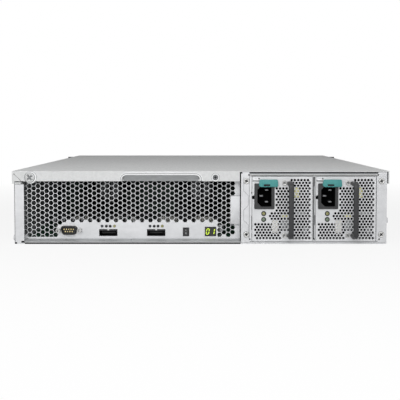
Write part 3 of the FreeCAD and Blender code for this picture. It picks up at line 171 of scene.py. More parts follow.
# Diffusing polycarbonate lenses of lamps that are off: milky, glossy skin over a tinted body.
for key, name, colour, *tones in (
    ("lens_grey", "smoked_lens", "#3e4147", "#373a40", "#474a50"),
    ("lens_black", "black_lens", "#0c0d10", "#08090b", "#14151a"),
    ("lens_olive", "olive_lens", "#a09d68", "#94915c", "#aeab78"),
    ("lens_green", "green_lens", "#7f917c", "#748671", "#8b9d88"),
):
    make_finish(key, name, colour, 0.0, 0.22, tones, 1.2, (1.0, 1.0, 1.0), (0.18, 0.3), 0.006,
                Transmission_Weight=0.15)
# Lit segment of the display: lime, even, brighter than its black mask.
make_finish("lit", "lime_segment", "#c8e23c", 0.0, 0.4,
            ("#bcd836", "#d2ea4c"), 0.8, (1.0, 1.0, 1.0), (0.36, 0.46), 0.002,
            Emission_Color=linear("#c2e02a"), Emission_Strength=0.75)
# Unlit segment: barely greener than the mask round it.
make_finish("unlit", "unlit_segment", "#2a3016", 0.0, 0.4,
            ("#262b14", "#2f3519"), 0.8, (1.0, 1.0, 1.0), (0.36, 0.46), 0.002)
# Pad-printed grey ink of the plain marks under the ports.
make_finish("ink", "grey_marking_ink", "#5c5e61", 0.0, 0.7,
            ("#525457", "#66686b"), 0.6, (1.0, 1.0, 1.0), (0.64, 0.78), 0.002)
# Pad-printed off-white marks on the rocker.
make_finish("pale_ink", "off_white_marking_ink", "#b9bbbd", 0.0, 0.65,
            ("#aeb0b2", "#c4c6c8"), 0.5, (1.0, 1.0, 1.0), (0.6, 0.74), 0.002)
# The shade in a folded joint or a gap between two sheets: a dull, nearly black grey.
make_finish("seam", "shaded_seam", "#2c2d2f", 0.0, 0.85,
            ("#252628", "#343537"), 2.0, (1.0, 1.0, 1.0), (0.8, 0.92), 0.01, Specular_IOR_Level=0.1)
# Sheared edge of a lapped sheet, and painted shade along folds, steps, dents, grooves and screw rims: a mid-grey line
# between two bright faces.
make_finish("edge", "sheared_edge_and_painted_shade_grey", "#808284", 0.2, 0.6,
            ("#757779", "#8c8e90"), 0.8, (1.0, 1.0, 0.2), (0.54, 0.7), 0.01)
# The dark of an open gap between two sheets: next to no light comes back out.
make_finish("gap", "unlit_open_gap", "#08090a", 0.0, 0.95,
            ("#060708", "#0d0e0f"), 2.0, (1.0, 1.0, 1.0), (0.9, 1.0), 0.01, Specular_IOR_Level=0.02)
# Painted highlight on the crest of a pressed bead and on the rims round the screws: the palest line on the sheet.
make_finish("painted_highlight", "painted_highlight_bead", "#eeefef", 0.2, 0.45,
            ("#e8e9ea", "#f3f4f4"), 1.2, (0.2, 1.0, 1.0), (0.4, 0.52), 0.003)
# Drawn floor of the finger recess: the same sheet, duller, and painted greyer as the shade inside the recess.
make_finish("dish", "painted_shade_recess_steel", "#a3a5a6", 0.0, 0.66,
            ("#9c9e9f", "#aaacad"), 2.0, (0.3, 1.0, 1.0), (0.6, 0.74), 0.006, Specular_IOR_Level=0.1)
# Matt black nylon collar round each lamp, with a touch of green painted in as light reflected from the lens beside it.
make_finish("bezel", "matt_black_collar", "#232520", 0.0, 0.6,
            ("#1f211c", "#2a2c26"), 0.5, (1.0, 1.0, 1.0), (0.55, 0.68), 0.006)
# The same zinc sheet on the lip, painted darker as the shade on its downward slope.
make_finish("shaded_sheet", "painted_shade_lip_sheet", "#b3b5b6", 0.2, 0.6,
            ("#acaeaf", "#bbbdbe"), 5.0, (0.25, 1.0, 1.0), (0.55, 0.68), 0.01)


# Shapes -------------------------------------------------------------------------------------------------------------

UPRIGHT = Matrix.Rotation(math.radians(90), 4, "X")    # lays what is drawn in X and Y into X and Z, facing the rear


def edges_of(verts):
    return {e for v in verts for e in v.link_edges}


def only(kind, geometry):
    return [g for g in geometry if isinstance(g, kind)]


def soften(shape, edges, round_mm, steps):
    """Rounds edges of a shape."""
    bmesh.ops.bevel(shape, geom=edges, offset=round_mm, segments=steps, profile=0.5, affect="EDGES", material=-1)


def slab(shape, low, high, round_mm=0.0, steps=2):
    """A rectangular block between two corners, its edges rounded."""
    low, high = Vector(low), Vector(high)
    made = bmesh.ops.create_cube(shape, size=1.0, matrix=Matrix.Translation((low + high) / 2)
                                 @ Matrix.Diagonal((*(high - low), 1.0)))
    if round_mm:
        soften(shape, list(edges_of(made["verts"])), round_mm, steps)


def rod(shape, x, z, radius, front, back, sides=32, round_mm=0.0):
    """A round bar along Y between two levels; its rear rim is rounded."""
    made = bmesh.ops.create_cone(shape, cap_ends=True, segments=sides, radius1=radius, radius2=radius,
                                 depth=back - front, matrix=Matrix.Translation((x, (front + back) / 2, z)) @ UPRIGHT)
    if round_mm:
        rim = [e for e in edges_of(made["verts"]) if all(abs(v.co.y - front) < 0.001 for v in e.verts)]
        soften(shape, rim, round_mm, 3)


def loop(shape, corners):
    """A closed line through (x, z) corners, in the plane of Y = 0."""
    spots = [shape.verts.new((x, 0.0, z)) for x, z in corners]
    return [shape.edges.new((spots[i - 1], spots[i])) for i in range(len(spots))]


def ring(shape, x, z, radius, sides, turn=0.0):
    """A closed round or many-sided line about a centre, in the plane of Y = 0."""
    made = bmesh.ops.create_circle(shape, segments=sides, radius=radius, matrix=Matrix.Translation((x, 0.0, z))
                                   @ UPRIGHT @ Matrix.Rotation(math.radians(turn), 4, "Z"))
    return list(edges_of(made["verts"]))


def plate(shape, lines, front, back, round_mm=0.0, steps=2):
    """Fills nested closed lines into a flat sheet, holes left open, and gives it its thickness along Y."""
    edges = [e for line in lines for e in line]
    faces = only(bmesh.types.BMFace, bmesh.ops.triangle_fill(shape, use_beauty=True, edges=edges,
                                                             normal=(0, -1, 0))["geom"])
    near = list({v for f in faces for v in f.verts})
    far = only(bmesh.types.BMVert, bmesh.ops.extrude_face_region(shape, geom=faces)["geom"])
    bmesh.ops.translate(shape, vec=(0.0, back, 0.0), verts=far)
    bmesh.ops.translate(shape, vec=(0.0, front, 0.0), verts=near)
    bmesh.ops.recalc_face_normals(shape, faces=list({f for v in near + far for f in v.link_faces}))
    if round_mm:
        rear = set(near)
        rim = [e for e in edges_of(near)
               if e.verts[0] in rear and e.verts[1] in rear and e.calc_face_angle(0) > 0.5]
        soften(shape, rim, round_mm, steps)


def ribbon(shape, corners, front, back, wide):
    """A bar along a path of (x, z) corners, between two levels along Y."""
    spots = [shape.verts.new((x, front, z)) for x, z in corners]
    made = bmesh.ops.extrude_edge_only(shape, edges=[shape.edges.new(p) for p in zip(spots, spots[1:])])["geom"]
    bmesh.ops.translate(shape, vec=(0.0, back - front, 0.0), verts=only(bmesh.types.BMVert, made))
    faces = only(bmesh.types.BMFace, made)
    made = bmesh.ops.solidify(shape, geom=faces, thickness=wide)["geom"]
    bmesh.ops.recalc_face_normals(shape, faces=list(set(faces) | set(only(bmesh.types.BMFace, made))))


def arch(left, right, low, high, corner, steps=8):
    """Points of an arch with rounded shoulders, from its left foot to its right foot."""
    turns = [math.radians(90 * n / steps) for n in range(steps + 1)]
    rise = [(left + corner - corner * math.cos(t), high - corner + corner * math.sin(t)) for t in turns]
    fall = [(left + right - x, z) for x, z in reversed(rise)]
    return [(left, low), *rise, *fall, (right, low)]


def arch_band(shape, left, right, low, high, corner, wide):
    """The outline of a band of even width that follows an arch."""
    return loop(shape, arch(left, right, low, high, corner)
                + arch(left + wide, right - wide, low, high - wide, corner - wide)[::-1])


def cross(shape, x, z, reach, half, turn):
    """The outline of a cross recess."""
    c, s = math.cos(math.radians(turn)), math.sin(math.radians(turn))
    corners = []
    for quarter in range(4):
        for a, b in ((reach, -half), (reach, half), (half, half)):
            for _ in range(quarter):
                a, b = -b, a
            corners.append((x + a * c - b * s, z + a * s + b * c))
    return loop(shape, corners)


def cross_screw(head, recess, x, z, radius, front, back, turn):
    """A pan head with a cross recess; the recess's shaded floor and the shade round the head go into a second shape."""
    plate(head, [ring(head, x, z, radius, 32), cross(head, x, z, radius * 0.6, radius * 0.17, turn)],
          front, back - 0.3, radius * 0.16, 3)
    rod(recess, x, z, radius * 0.9, back - 0.5, back - 0.2, 32)
    plate(recess, [ring(recess, x, z, radius * 1.07, 32), ring(recess, x, z, radius * 0.97, 32)],
          back - 0.12, back + 0.1)


def keep(shape, name, body, finish, stands_for=(), smooth=30.0):
    """Makes the shape a piece of that name, riding on a body and standing for CAD nodes."""
    bmesh.ops.scale(shape, vec=(MM, MM, MM), verts=shape.verts)
    mesh = bpy.data.meshes.new(name)
    shape.to_mesh(mesh)
    shape.free()
    piece = bpy.data.objects.new(name, mesh)
    bpy.context.scene.collection.objects.link(piece)
    mesh.materials.append(FINISH[finish])
    if smooth:
        mesh.shade_smooth()
        mesh.set_sharp_from_angle(angle=math.radians(smooth))
    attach(piece, body)
    if stands_for:
        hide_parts(*stands_for)
    return piece


def dress(node, finish, round_mm=0.0):
    """Gives a CAD node its finish and, where asked, rounds its edges a little."""
    part = frame["nodes"][node]
    part.data.materials.clear()
    part.data.materials.append(FINISH[finish])
    if round_mm:
        weld = part.modifiers.new("weld", "WELD")
        weld.merge_threshold = 0.00002
        flat = part.modifiers.new("flat", "DECIMATE")
        flat.decimate_type, flat.angle_limit = "DISSOLVE", math.radians(1.0)
        edge = part.modifiers.new("edge", "BEVEL")
        edge.width, edge.segments, edge.limit_method = round_mm * MM, 2, "ANGLE"
        edge.angle_limit, edge.harden_normals = math.radians(35), False


# CAD nodes that keep their own shape --------------------------------------------------------------------------------

for node, finish, round_mm in (
    ("chassis_base", "sheet", 0.35), ("top_cover", "cover", 0.3), ("psu_cage", "sheet", 0.2),
    ("drive_cage", "sheet", 0.0), ("backplane", "board", 0.0), ("expander_board", "board", 0.0),
    ("power_board", "board", 0.0), ("fan_frames", "black", 0.0), ("switch_housing", "black", 0.2),
    ("power_rocker", "black", 0.15), ("id_display", "black", 0.0), ("jackscrews", "nickel", 0.15),
):
    dress(node, finish, round_mm)
for n in (1, 2, 3):
    dress(f"fan_rotor_{n}", "black")
for n in (1, 2):
    dress(f"psu_{n}_case", "sheet")
    dress(f"psu_{n}_inlet", "inlet", 0.35)
for n in range(1, 13):
    dress(f"drive_carrier_{n}", "black", 0.25)
    dress(f"carrier_lever_{n}", "handle", 0.4)
for hand in ("left", "right"):
    dress(f"rack_ear_{hand}", "ear", 0.3)


# Rear panel: true-pitch honeycomb in a folded sheet -----------------------------------------------------------------

panel_low, panel_high = box_mm("rear_panel")
base_low = box_mm("chassis_base")[0]
cage_low, cage_high = box_mm("psu_cage")
display_low, display_high = box_mm("id_display")
switch_low, switch_high = box_mm("switch_housing")
serial_low, serial_high = box_mm("serial_port")
pipes_high = box_mm("port_light_pipes")[1]
rear_y = base_low.y
BODY_SIDE = cage_high.x
frame_left = cage_low.x + 12.0
PANEL_FACE, PANEL_SHEET, PANEL_FOOT = rear_y + 10.0, 1.2, 4.7
ACROSS_FLATS, COLUMN, ROW = 5.08, 5.137, 5.81
HOLE_REACH = ACROSS_FLATS / math.sqrt(3)
VENT_RIGHT, EVEN_COLUMN_Z, ODD_COLUMN_Z = frame_left - 9.45, 30.05, 26.95
VENT_COLUMNS, VENT_ROWS = 49, 13
SERIAL_COLUMN, DISPLAY_COLUMN = 41, 3    # from here outwards the holes go down past the port and the display
PORT_BAND_TOP, PORT_BAND_END = 25.5, 23.5
SAS = [((b[0][0] + b[1][0]) / 2, (b[0][2] + b[1][2]) / 2) for b in
       (OPENINGS["sas_port_left_mouth"], OPENINGS["sas_port_right_mouth"])]
SAS_WIDE, SAS_TALL, SOCKET_DEEP = 21.7, 8.2, 20.0
PIPE_Z = pipes_high.z - 1.5
PIPES = [-7.35, -2.25, 2.25, 7.35]
PIPE_BORE, PIPE_RADIUS, JACK_BORE = 1.7, 1.55, 1.7
SERIAL_X = (serial_low.x + serial_high.x) / 2
SERIAL_Z = 15.0
D_TOP, D_FOOT, D_TALL = 19.5, 16.6, 10.8
JACKS = [SERIAL_X - 12.5, SERIAL_X + 12.5]
PIN_PITCH, PIN_ROW, PIN_RADIUS = 2.77, 1.42, 0.72


def box_line(shape, left, right, low, high):
    return loop(shape, [(left, low), (right, low), (right, high), (left, high)])


def d_line(shape, x, z, top, foot, tall, corner):
    """The outline of a nine-pin port, wider along its top, with round corners."""
    corners = []
    for side, level, start in ((foot, -tall, 270), (top, tall, 0), (-top, tall, 90), (-foot, -tall, 180)):
        cx, cz = side / 2 - math.copysign(corner, side), level / 2 - math.copysign(corner, level)
        for n in range(5):
            turn = math.radians(start + 22.5 * n)
            corners.append((x + cx + corner * math.cos(turn), z + cz + corner * math.sin(turn)))
    return loop(shape, corners)


def vent_spots():
    """Centres of the panel's hexagonal holes, column by column from the right."""
    for k in range(VENT_COLUMNS):
        x = VENT_RIGHT - COLUMN * k
        if x - HOLE_REACH < panel_low.x + 0.4:
            break
        first = (EVEN_COLUMN_Z if k % 2 == 0 else ODD_COLUMN_Z) - 3 * ROW
        for n in range(VENT_ROWS):
            z = first + ROW * n
            if z > panel_high.z - 4.5:
                break
            band_top = PORT_BAND_END if k == SERIAL_COLUMN - 1 else PORT_BAND_TOP
            if z < band_top and DISPLAY_COLUMN < k < SERIAL_COLUMN:
                continue
            yield x, z


def cut_hexagon(shape, x, z, level):
    """A hole of the lowest row, ended by the sheet's foot."""
    top, side = z + ACROSS_FLATS / 2, HOLE_REACH - (level - z) / math.sqrt(3)
    return loop(shape, [(x - side, level), (x + side, level), (x + HOLE_REACH / 2, top), (x - HOLE_REACH / 2, top)])


panel = bmesh.new()
lines = [box_line(panel, panel_low.x, panel_high.x, PANEL_FOOT, panel_high.z)]
for x, z in vent_spots():
    lines.append(ring(panel, x, z, HOLE_REACH, 6, 30.0))
for k in range(42, 48, 2):
    lines.append(cut_hexagon(panel, VENT_RIGHT - COLUMN * k, EVEN_COLUMN_Z - 4 * ROW, 7.0))
for x, z in SAS:
    lines.append(box_line(panel, x - SAS_WIDE / 2, x + SAS_WIDE / 2, z - SAS_TALL / 2, z + SAS_TALL / 2))
    for offset in PIPES:
        lines.append(ring(panel, x + offset, PIPE_Z, PIPE_BORE, 16))
lines.append(d_line(panel, SERIAL_X, SERIAL_Z, D_TOP, D_FOOT, D_TALL, 1.6))
for x in JACKS:
    lines.append(ring(panel, x, SERIAL_Z, JACK_BORE, 16))
lines.append(box_line(panel, switch_low.x + 0.5, switch_high.x - 0.5, switch_low.z + 0.5, switch_high.z - 0.5))
lines.append(box_line(panel, display_low.x - 0.25, display_high.x + 0.25, display_low.z - 0.25, display_high.z + 0.25))
plate(panel, lines, PANEL_FACE, PANEL_FACE + PANEL_SHEET, 0.18, 1)
keep(panel, "rear_panel_sheet", "chassis", "sheet", ("rear_panel",), 0)

lip = bmesh.new()
lip_left, lip_right = base_low.x + 11.6, frame_left - 0.3
slope = [(PANEL_FACE + 0.3, PANEL_FOOT + 0.4), (rear_y + 0.2, 2.7)]
spots = [lip.verts.new((lip_left, y, z)) for y, z in slope + [(rear_y + 0.2, 1.6)]]
edges = [lip.edges.new((a, b)) for a, b in zip(spots, spots[1:])]
made = bmesh.ops.extrude_edge_only(lip, edges=edges)["geom"]
bmesh.ops.translate(lip, vec=(lip_right - lip_left, 0, 0), verts=only(bmesh.types.BMVert, made))
soften(lip, [e for e in lip.edges if len(e.link_faces) == 2], 0.5, 3)
bmesh.ops.recalc_face_normals(lip, faces=lip.faces)
if sum(f.normal.y for f in lip.faces) > 0:
    bmesh.ops.reverse_faces(lip, faces=lip.faces)
# The lip takes the zinc painted darker as shade.
keep(lip, "rear_panel_lip", "chassis", "shaded_sheet")

# Small lances in the lip; their mid grey is painted shade in each dent.
dents = bmesh.new()
for x in (-190.0, -82.0, 21.0):
    bmesh.ops.create_cone(dents, cap_ends=True, segments=3, radius1=1.5, radius2=0.9, depth=0.5,
                          matrix=Matrix.Translation((x, rear_y + 4.8, 3.55))
                          @ Matrix.Rotation(math.radians(101), 4, "X"))
keep(dents, "lip_lances", "chassis", "edge")

marks = bmesh.new()
for start, bars in ((SERIAL_X - 1.0, 4), (SAS[0][0] - 10.0, 3), (SAS[0][0] + 4.0, 3), (SAS[1][0] - 14.0, 3),
                    (SAS[1][0] + 3.0, 4)):
    for n in range(bars):
        slab(marks, (start + 2.6 * n, rear_y + 2.4, 3.16), (start + 2.6 * n + 1.7, rear_y + 2.9, 3.4))
keep(marks, "plain_port_marks", "chassis", "ink")


# Ports, switch and display ------------------------------------------------------------------------------------------

shell, flange = bmesh.new(), bmesh.new()
plate(shell, [d_line(shell, SERIAL_X, SERIAL_Z, D_TOP - 0.6, D_FOOT - 0.6, D_TALL - 0.6, 3.4),
              d_line(shell, SERIAL_X, SERIAL_Z, D_TOP - 2.4, D_FOOT - 2.4, D_TALL - 2.4, 2.7)],
      serial_low.y, PANEL_FACE + PANEL_SHEET, 0.3, 2)
plate(shell, [d_line(shell, SERIAL_X, SERIAL_Z, D_TOP + 0.9, D_FOOT + 1.9, D_TALL + 0.2, 4.2),
              d_line(shell, SERIAL_X, SERIAL_Z, D_TOP - 0.8, D_FOOT - 0.8, D_TALL - 0.8, 3.2)],
      PANEL_FACE - 0.5, PANEL_FACE, 0.2, 2)
plate(shell, [d_line(shell, SERIAL_X, SERIAL_Z, D_TOP - 2.2, D_FOOT - 2.2, D_TALL - 2.2, 2.8)],
      PANEL_FACE - 0.6, PANEL_FACE + 1.0, 0.1, 1)
plate(flange, [d_line(flange, SERIAL_X, SERIAL_Z, D_TOP + 2.9, D_FOOT + 3.9, D_TALL + 1.0, 4.6),
               d_line(flange, SERIAL_X, SERIAL_Z, D_TOP + 0.7, D_FOOT + 1.7, D_TALL, 4.1)],
      PANEL_FACE - 0.3, PANEL_FACE, 0.12, 2)
keep(flange, "serial_port_flange", "chassis", "nickel")
bores = bmesh.new()
for x in JACKS:
    plate(bores, [ring(bores, x, SERIAL_Z, 3.1, 6), ring(bores, x, SERIAL_Z, 2.78, 6)], PANEL_FACE - 0.15, PANEL_FACE)
    plate(bores, [ring(bores, x, SERIAL_Z, 1.75, 20), ring(bores, x, SERIAL_Z, 1.35, 20)],
          PANEL_FACE - 5.06, PANEL_FACE - 4.95)
keep(bores, "jackscrew_shades", "chassis", "edge")
slab(shell, (SERIAL_X - 15.5, PANEL_FACE + PANEL_SHEET, 9.0), (SERIAL_X + 15.5, PANEL_FACE + 10.0, 21.2), 0.4)
keep(shell, "serial_port_body", "chassis", "black", ("serial_port",))

pins = bmesh.new()
for count, z in ((5, SERIAL_Z + PIN_ROW), (4, SERIAL_Z - PIN_ROW)):
    for n in range(count):
        rod(pins, SERIAL_X + (n - (count - 1) / 2) * PIN_PITCH, z, PIN_RADIUS, PANEL_FACE - 3.0, PANEL_FACE, 12, 0.3)
keep(pins, "serial_port_pins", "chassis", "gold")

sockets, guides, keys = bmesh.new(), bmesh.new(), bmesh.new()
for x, z in SAS:
    inner = PANEL_FACE + PANEL_SHEET
    plate(sockets, [box_line(sockets, x - 11.6, x + 11.6, z - 4.9, z + 4.9),
                    box_line(sockets, x - 10.8, x + 10.8, z - 4.05, z + 4.05)], inner, inner + SOCKET_DEEP)
    slab(sockets, (x - 11.4, inner + 18.8, z - 4.8), (x + 11.4, inner + 19.9, z + 4.8))
    slab(sockets, (x - 8.0, inner + 4.0, z - 0.8), (x + 8.0, inner + 19.0, z + 0.4), 0.2)
    slab(guides, (x - 10.3, PANEL_FACE + 0.3, z + 2.3), (x + 10.3, inner + 4.0, z + 3.7), 0.3)
    slab(keys, (x - 1.0, PANEL_FACE + 0.05, z + 2.6), (x + 1.0, PANEL_FACE + 0.9, z + 3.9), 0.2)
keep(sockets, "mini_sas_sockets", "chassis", "black", ("sas_ports",))
keep(guides, "mini_sas_top_guides", "chassis", "inlet")
keep(keys, "mini_sas_keys", "chassis", "nickel")

for name, finish, spots, stands in (
    ("port_lamps_smoked", "lens_grey", PIPES[:1], ("port_light_pipes",)),
    ("port_lamps_black", "lens_black", PIPES[1:3], ()),
    ("port_lamps_olive", "lens_olive", PIPES[3:], ()),
):
    lamps = bmesh.new()
    for x, z in SAS:
        for offset in spots:
            rod(lamps, x + offset, PIPE_Z, PIPE_RADIUS, PANEL_FACE - 0.25, PANEL_FACE + 4.0, 20, 0.5)
    keep(lamps, name, "chassis", finish, stands)

rocker_low, rocker_high = box_mm("power_rocker")
ROCKER_RISE, ROCKER_TALL = 1.006, 7.16
tilt = math.atan2(ROCKER_RISE, ROCKER_TALL)
legend = bmesh.new()
plate(legend, [ring(legend, 0.0, -1.75, 0.95, 16), ring(legend, 0.0, -1.75, 0.6, 16)], -0.08, 0.1)
slab(legend, (-0.16, -0.08, 1.1), (0.16, 0.1, 2.5))
bmesh.ops.transform(legend, verts=legend.verts, matrix=Matrix.Translation(
    ((rocker_low.x + rocker_high.x) / 2, (rocker_low.y + PANEL_FACE - 0.7) / 2, 13.17))
    @ Matrix.Rotation(-tilt, 4, "X"))
keep(legend, "rocker_marks", "rocker", "pale_ink")

SLANT = math.tan(math.radians(9))
BARS = {"top": ((-1, 1), (1, 1)), "upper_right": ((1, 1), (1, 0)), "lower_right": ((1, 0), (1, -1)),
        "foot": ((1, -1), (-1, -1)), "lower_left": ((-1, -1), (-1, 0)), "upper_left": ((-1, 0), (-1, 1)),
        "middle": ((-1, 0), (1, 0))}


def digit_bars(shape, x, z, names):
    """Bars of one digit of the display, slanted, with pointed ends."""
    half_wide, half_tall, thick = 1.5, 3.2, 0.5
    lines = []
    for name in names:
        (ax, az), (bx, bz) = BARS[name]
        a, b = Vector((ax * half_wide, az * half_tall)), Vector((bx * half_wide, bz * half_tall))
        along = (b - a).normalized()
        beside = Vector((-along.y, along.x)) * thick
        corners = [a + along * 0.15, a + along * 0.6 + beside, b - along * 0.6 + beside, b - along * 0.15,
                   b - along * 0.6 - beside, a + along * 0.6 - beside]
        lines.append(loop(shape, [(x + c.x + c.y * SLANT, z + c.y) for c in corners]))
    return lines


window_y = display_low.y
middle_z = (display_low.z + display_high.z) / 2
left_x, right_x = display_low.x + 3.2, display_high.x - 3.6
bright, unlit = bmesh.new(), bmesh.new()
plate(bright, digit_bars(bright, left_x, middle_z, ["top", "upper_right", "lower_right", "foot", "lower_left",
                                                    "upper_left"])
      + digit_bars(bright, right_x, middle_z, ["upper_right", "lower_right"]), window_y - 0.12, window_y + 0.05)
plate(unlit, digit_bars(unlit, left_x, middle_z, ["middle"])
      + digit_bars(unlit, right_x, middle_z, ["top", "foot", "lower_left", "upper_left", "middle"]),
      window_y - 0.08, window_y + 0.05)
keep(bright, "display_lit_bars", "chassis", "lit")
keep(unlit, "display_unlit_bars", "chassis", "unlit")


# Cover: finger recess with painted highlight on its bead and painted shade in its crease and floor, seams at its
# corner, captive screws ---

recess = OPENINGS["cover_finger_recess"]
RECESS_RIM = 10.35
FINGER_LEFT, FINGER_RIGHT, FINGER_TOP, COVER_EDGE = recess[0][0] - RECESS_RIM, recess[1][0] + RECESS_RIM, 83.5, 74.0
bead, crease, dish = bmesh.new(), bmesh.new(), bmesh.new()
plate(bead, [arch_band(bead, FINGER_LEFT - 0.7, FINGER_RIGHT + 0.7, COVER_EDGE + 0.1, FINGER_TOP + 0.7, 8.7, 1.0)],
      rear_y - 0.7, rear_y + 0.1, 0.35, 3)
plate(bead, [arch_band(bead, FINGER_LEFT + 0.8, FINGER_RIGHT - 0.8, COVER_EDGE + 0.1, FINGER_TOP - 0.8, 7.2, 1.5)],
      rear_y - 0.5, rear_y + 0.6, 0.5, 4)
# The crease between the bead's two crests: a mid-grey line of painted shade.
plate(crease, [arch_band(crease, FINGER_LEFT + 0.2, FINGER_RIGHT - 0.2, COVER_EDGE + 0.1, FINGER_TOP - 0.2, 7.8, 0.7)],
      rear_y - 0.25, rear_y + 0.3)
keep(bead, "finger_recess_bead", "cover", "painted_highlight")
keep(crease, "finger_recess_crease", "cover", "edge")
# The recess's floor, in the greyer finish that paints the shade inside it.
levels = [(COVER_EDGE + 0.2, 4.5), (COVER_EDGE + 1.6, 4.1), (COVER_EDGE + 3.2, 3.2), (COVER_EDGE + 5.2, 1.7),
          (COVER_EDGE + 7.6, 0.4)]
spots = [dish.verts.new((FINGER_LEFT + 4.5, rear_y + deep, z)) for z, deep in levels]
made = bmesh.ops.extrude_edge_only(dish, edges=[dish.edges.new(p) for p in zip(spots, spots[1:])])["geom"]
bmesh.ops.translate(dish, vec=(FINGER_RIGHT - FINGER_LEFT - 9.0, 0, 0), verts=only(bmesh.types.BMVert, made))
bmesh.ops.solidify(dish, geom=list(dish.faces), thickness=0.3)
bmesh.ops.recalc_face_normals(dish, faces=dish.faces)
keep(dish, "finger_recess_dish", "cover", "dish")

thumb_low, thumb_high = box_mm("thumbscrew_left")
small_low, small_high = box_mm("thumbscrew_right")
thumb = ((thumb_low.x + thumb_high.x) / 2, (thumb_low.z + thumb_high.z) / 2)
small = ((small_low.x + small_high.x) / 2, (small_low.z + small_high.z) / 2)
seams = bmesh.new()
ribbon(seams, [(-218.9, 82.2), (-210.6, 74.0)], rear_y - 0.05, rear_y + 0.2, 0.3)
rod(seams, -219.0, 82.6, 0.55, rear_y - 0.05, rear_y + 0.2, 12)
keep(seams, "cover_corner_seam", "cover", "seam")


KNOB_RADIUS, SMALL_HEAD_RADIUS, SHANK_RADIUS, COLLAR_RADIUS = 5.75, 2.9, 1.75, 3.2


def captive_shank(shape, spot):
    """Shank of a captive screw, and the collar that holds it behind the flange."""
    rod(shape, *spot, SHANK_RADIUS, rear_y - 0.4, rear_y + 1.3, 24)
    rod(shape, *spot, COLLAR_RADIUS, rear_y + 1.3, rear_y + 2.5, 24)


knob, shade = bmesh.new(), bmesh.new()
cross_screw(knob, shade, *thumb, KNOB_RADIUS, rear_y - 2.2, rear_y - 0.3, 40.0)
captive_shank(knob, thumb)
plate(shade, [ring(shade, *thumb, 4.6, 32), ring(shade, *thumb, 4.25, 32)], rear_y - 2.26, rear_y - 2.1)
keep(knob, "captive_screw_large", "captive_screw_left", "cover", ("thumbscrew_left",))
keep(shade, "captive_screw_large_shades", "captive_screw_left", "edge")
knob, shade = bmesh.new(), bmesh.new()
# The small head is mid grey, darker than the flange round it.
cross_screw(knob, shade, *small, SMALL_HEAD_RADIUS, rear_y - 1.2, rear_y - 0.3, 15.0)
captive_shank(knob, small)
keep(knob, "captive_screw_small", "captive_screw_right", "edge", ("thumbscrew_right",))
keep(shade, "captive_screw_small_shades", "captive_screw_right", "seam")
dimple, groove = bmesh.new(), bmesh.new()
# Pale rims round both screws, in the painted highlight finish.
plate(dimple, [ring(dimple, *small, 4.7, 32), ring(dimple, *small, 3.3, 32)], rear_y - 0.5, rear_y, 0.3, 3)
plate(dimple, [ring(dimple, thumb[0] + 0.9, thumb[1], 7.0, 40), ring(dimple, *thumb, 5.95, 32)],
      rear_y - 0.4, rear_y, 0.15, 2)
# Thin mid-grey rings just outside them: painted shade in the grooves.
plate(groove, [ring(groove, thumb[0] + 0.9, thumb[1], 7.35, 40), ring(groove, thumb[0] + 0.9, thumb[1], 7.0, 40)],
      rear_y - 0.15, rear_y)
plate(groove, [ring(groove, *small, 5.0, 32), ring(groove, *small, 4.7, 32)], rear_y - 0.15, rear_y)
keep(dimple, "captive_screw_washers", "cover", "painted_highlight")
keep(groove, "captive_screw_grooves", "cover", "edge")


# Power supply cage: screws, painted shade along the lapped edge and in the gaps, hem ---

screws_low, screws_high = box_mm("cage_screws")
cage_y = cage_low.y
CAGE_HEAD, CAGE_HEAD_PROUD = 3.3, 1.6
fixings, shade = bmesh.new(), bmesh.new()
for x, *turns in ((screws_low.x + CAGE_HEAD, 20.0, 65.0), (screws_high.x - CAGE_HEAD, 50.0, 10.0)):
    for z, turn in zip((screws_low.z + CAGE_HEAD, screws_high.z - CAGE_HEAD), turns):
        cross_screw(fixings, shade, x, z, CAGE_HEAD, cage_y - CAGE_HEAD_PROUD, cage_y, turn)
keep(fixings, "cage_cross_screws", "chassis", "nickel", ("cage_screws",))
keep(shade, "cage_screw_shades", "chassis", "seam")

case_low, case_high = box_mm("psu_1_faceplate")
step = box_mm("psu_2_faceplate")[0].x - case_low.x
# A mid-grey line of painted shade along the cage's stepped, lapped edge.
lap_shade = bmesh.new()
outer, inner = frame_left + 3.0, frame_left + 3.0 + 5.4
ribbon(lap_shade, [(outer, 79.0), (outer, 62.5), (inner, 57.1), (inner, 45.6), (outer, 40.2), (outer, 28.1), (inner, 22.7),
             (inner, 9.0)], cage_y - 0.2, cage_y + 0.1, 0.3)
keep(lap_shade, "cage_lapped_edge_shade", "chassis", "edge")

hem, gaps = bmesh.new(), bmesh.new()
hem_left, hem_right = case_low.x - 3.4, case_high.x + step + 2.4
between = case_high.x + 2.0
for left, right, low, high in (
    (hem_left, hem_right, 83.3, 84.8), (hem_left, hem_right, 80.2, 80.9), (between - 1.1, between - 0.4, 6.0, 79.0),
    (between - 0.9, between + 0.6, 68.0, 79.5), (between + 0.7, between + 1.3, 22.0, 34.0),
    (between - 0.6, between + 0.9, 4.6, 7.0), (frame_left - 1.3, frame_left - 0.15, 3.6, 84.6),
    (frame_left - 1.3, frame_left + 1.6, 83.2, 84.7), (hem_left - 1.4, hem_left + 1.6, 80.9, 82.3),
    (hem_right - 1.8, hem_right + 0.6, 80.7, 82.5), (case_low.x - 0.75, case_low.x - 0.1, 17.0, 33.5),
    (case_low.x - 0.6, case_low.x - 0.1, 8.0, 12.0), (case_low.x - 1.0, case_low.x - 0.2, 59.5, 61.5),
    (0.4 - BODY_SIDE, 10.8 - BODY_SIDE, 72.9, 73.9), (0.3 - BODY_SIDE, 2.8 - BODY_SIDE, 0.3, 2.0),
    (7.8 - BODY_SIDE, 11.6 - BODY_SIDE, 1.6, 3.6), (11.8 - BODY_SIDE, frame_left - 0.4, 0.05, 1.5),
):
    slab(gaps, (left, cage_y - 0.12, low), (right, cage_y + 0.1, high))
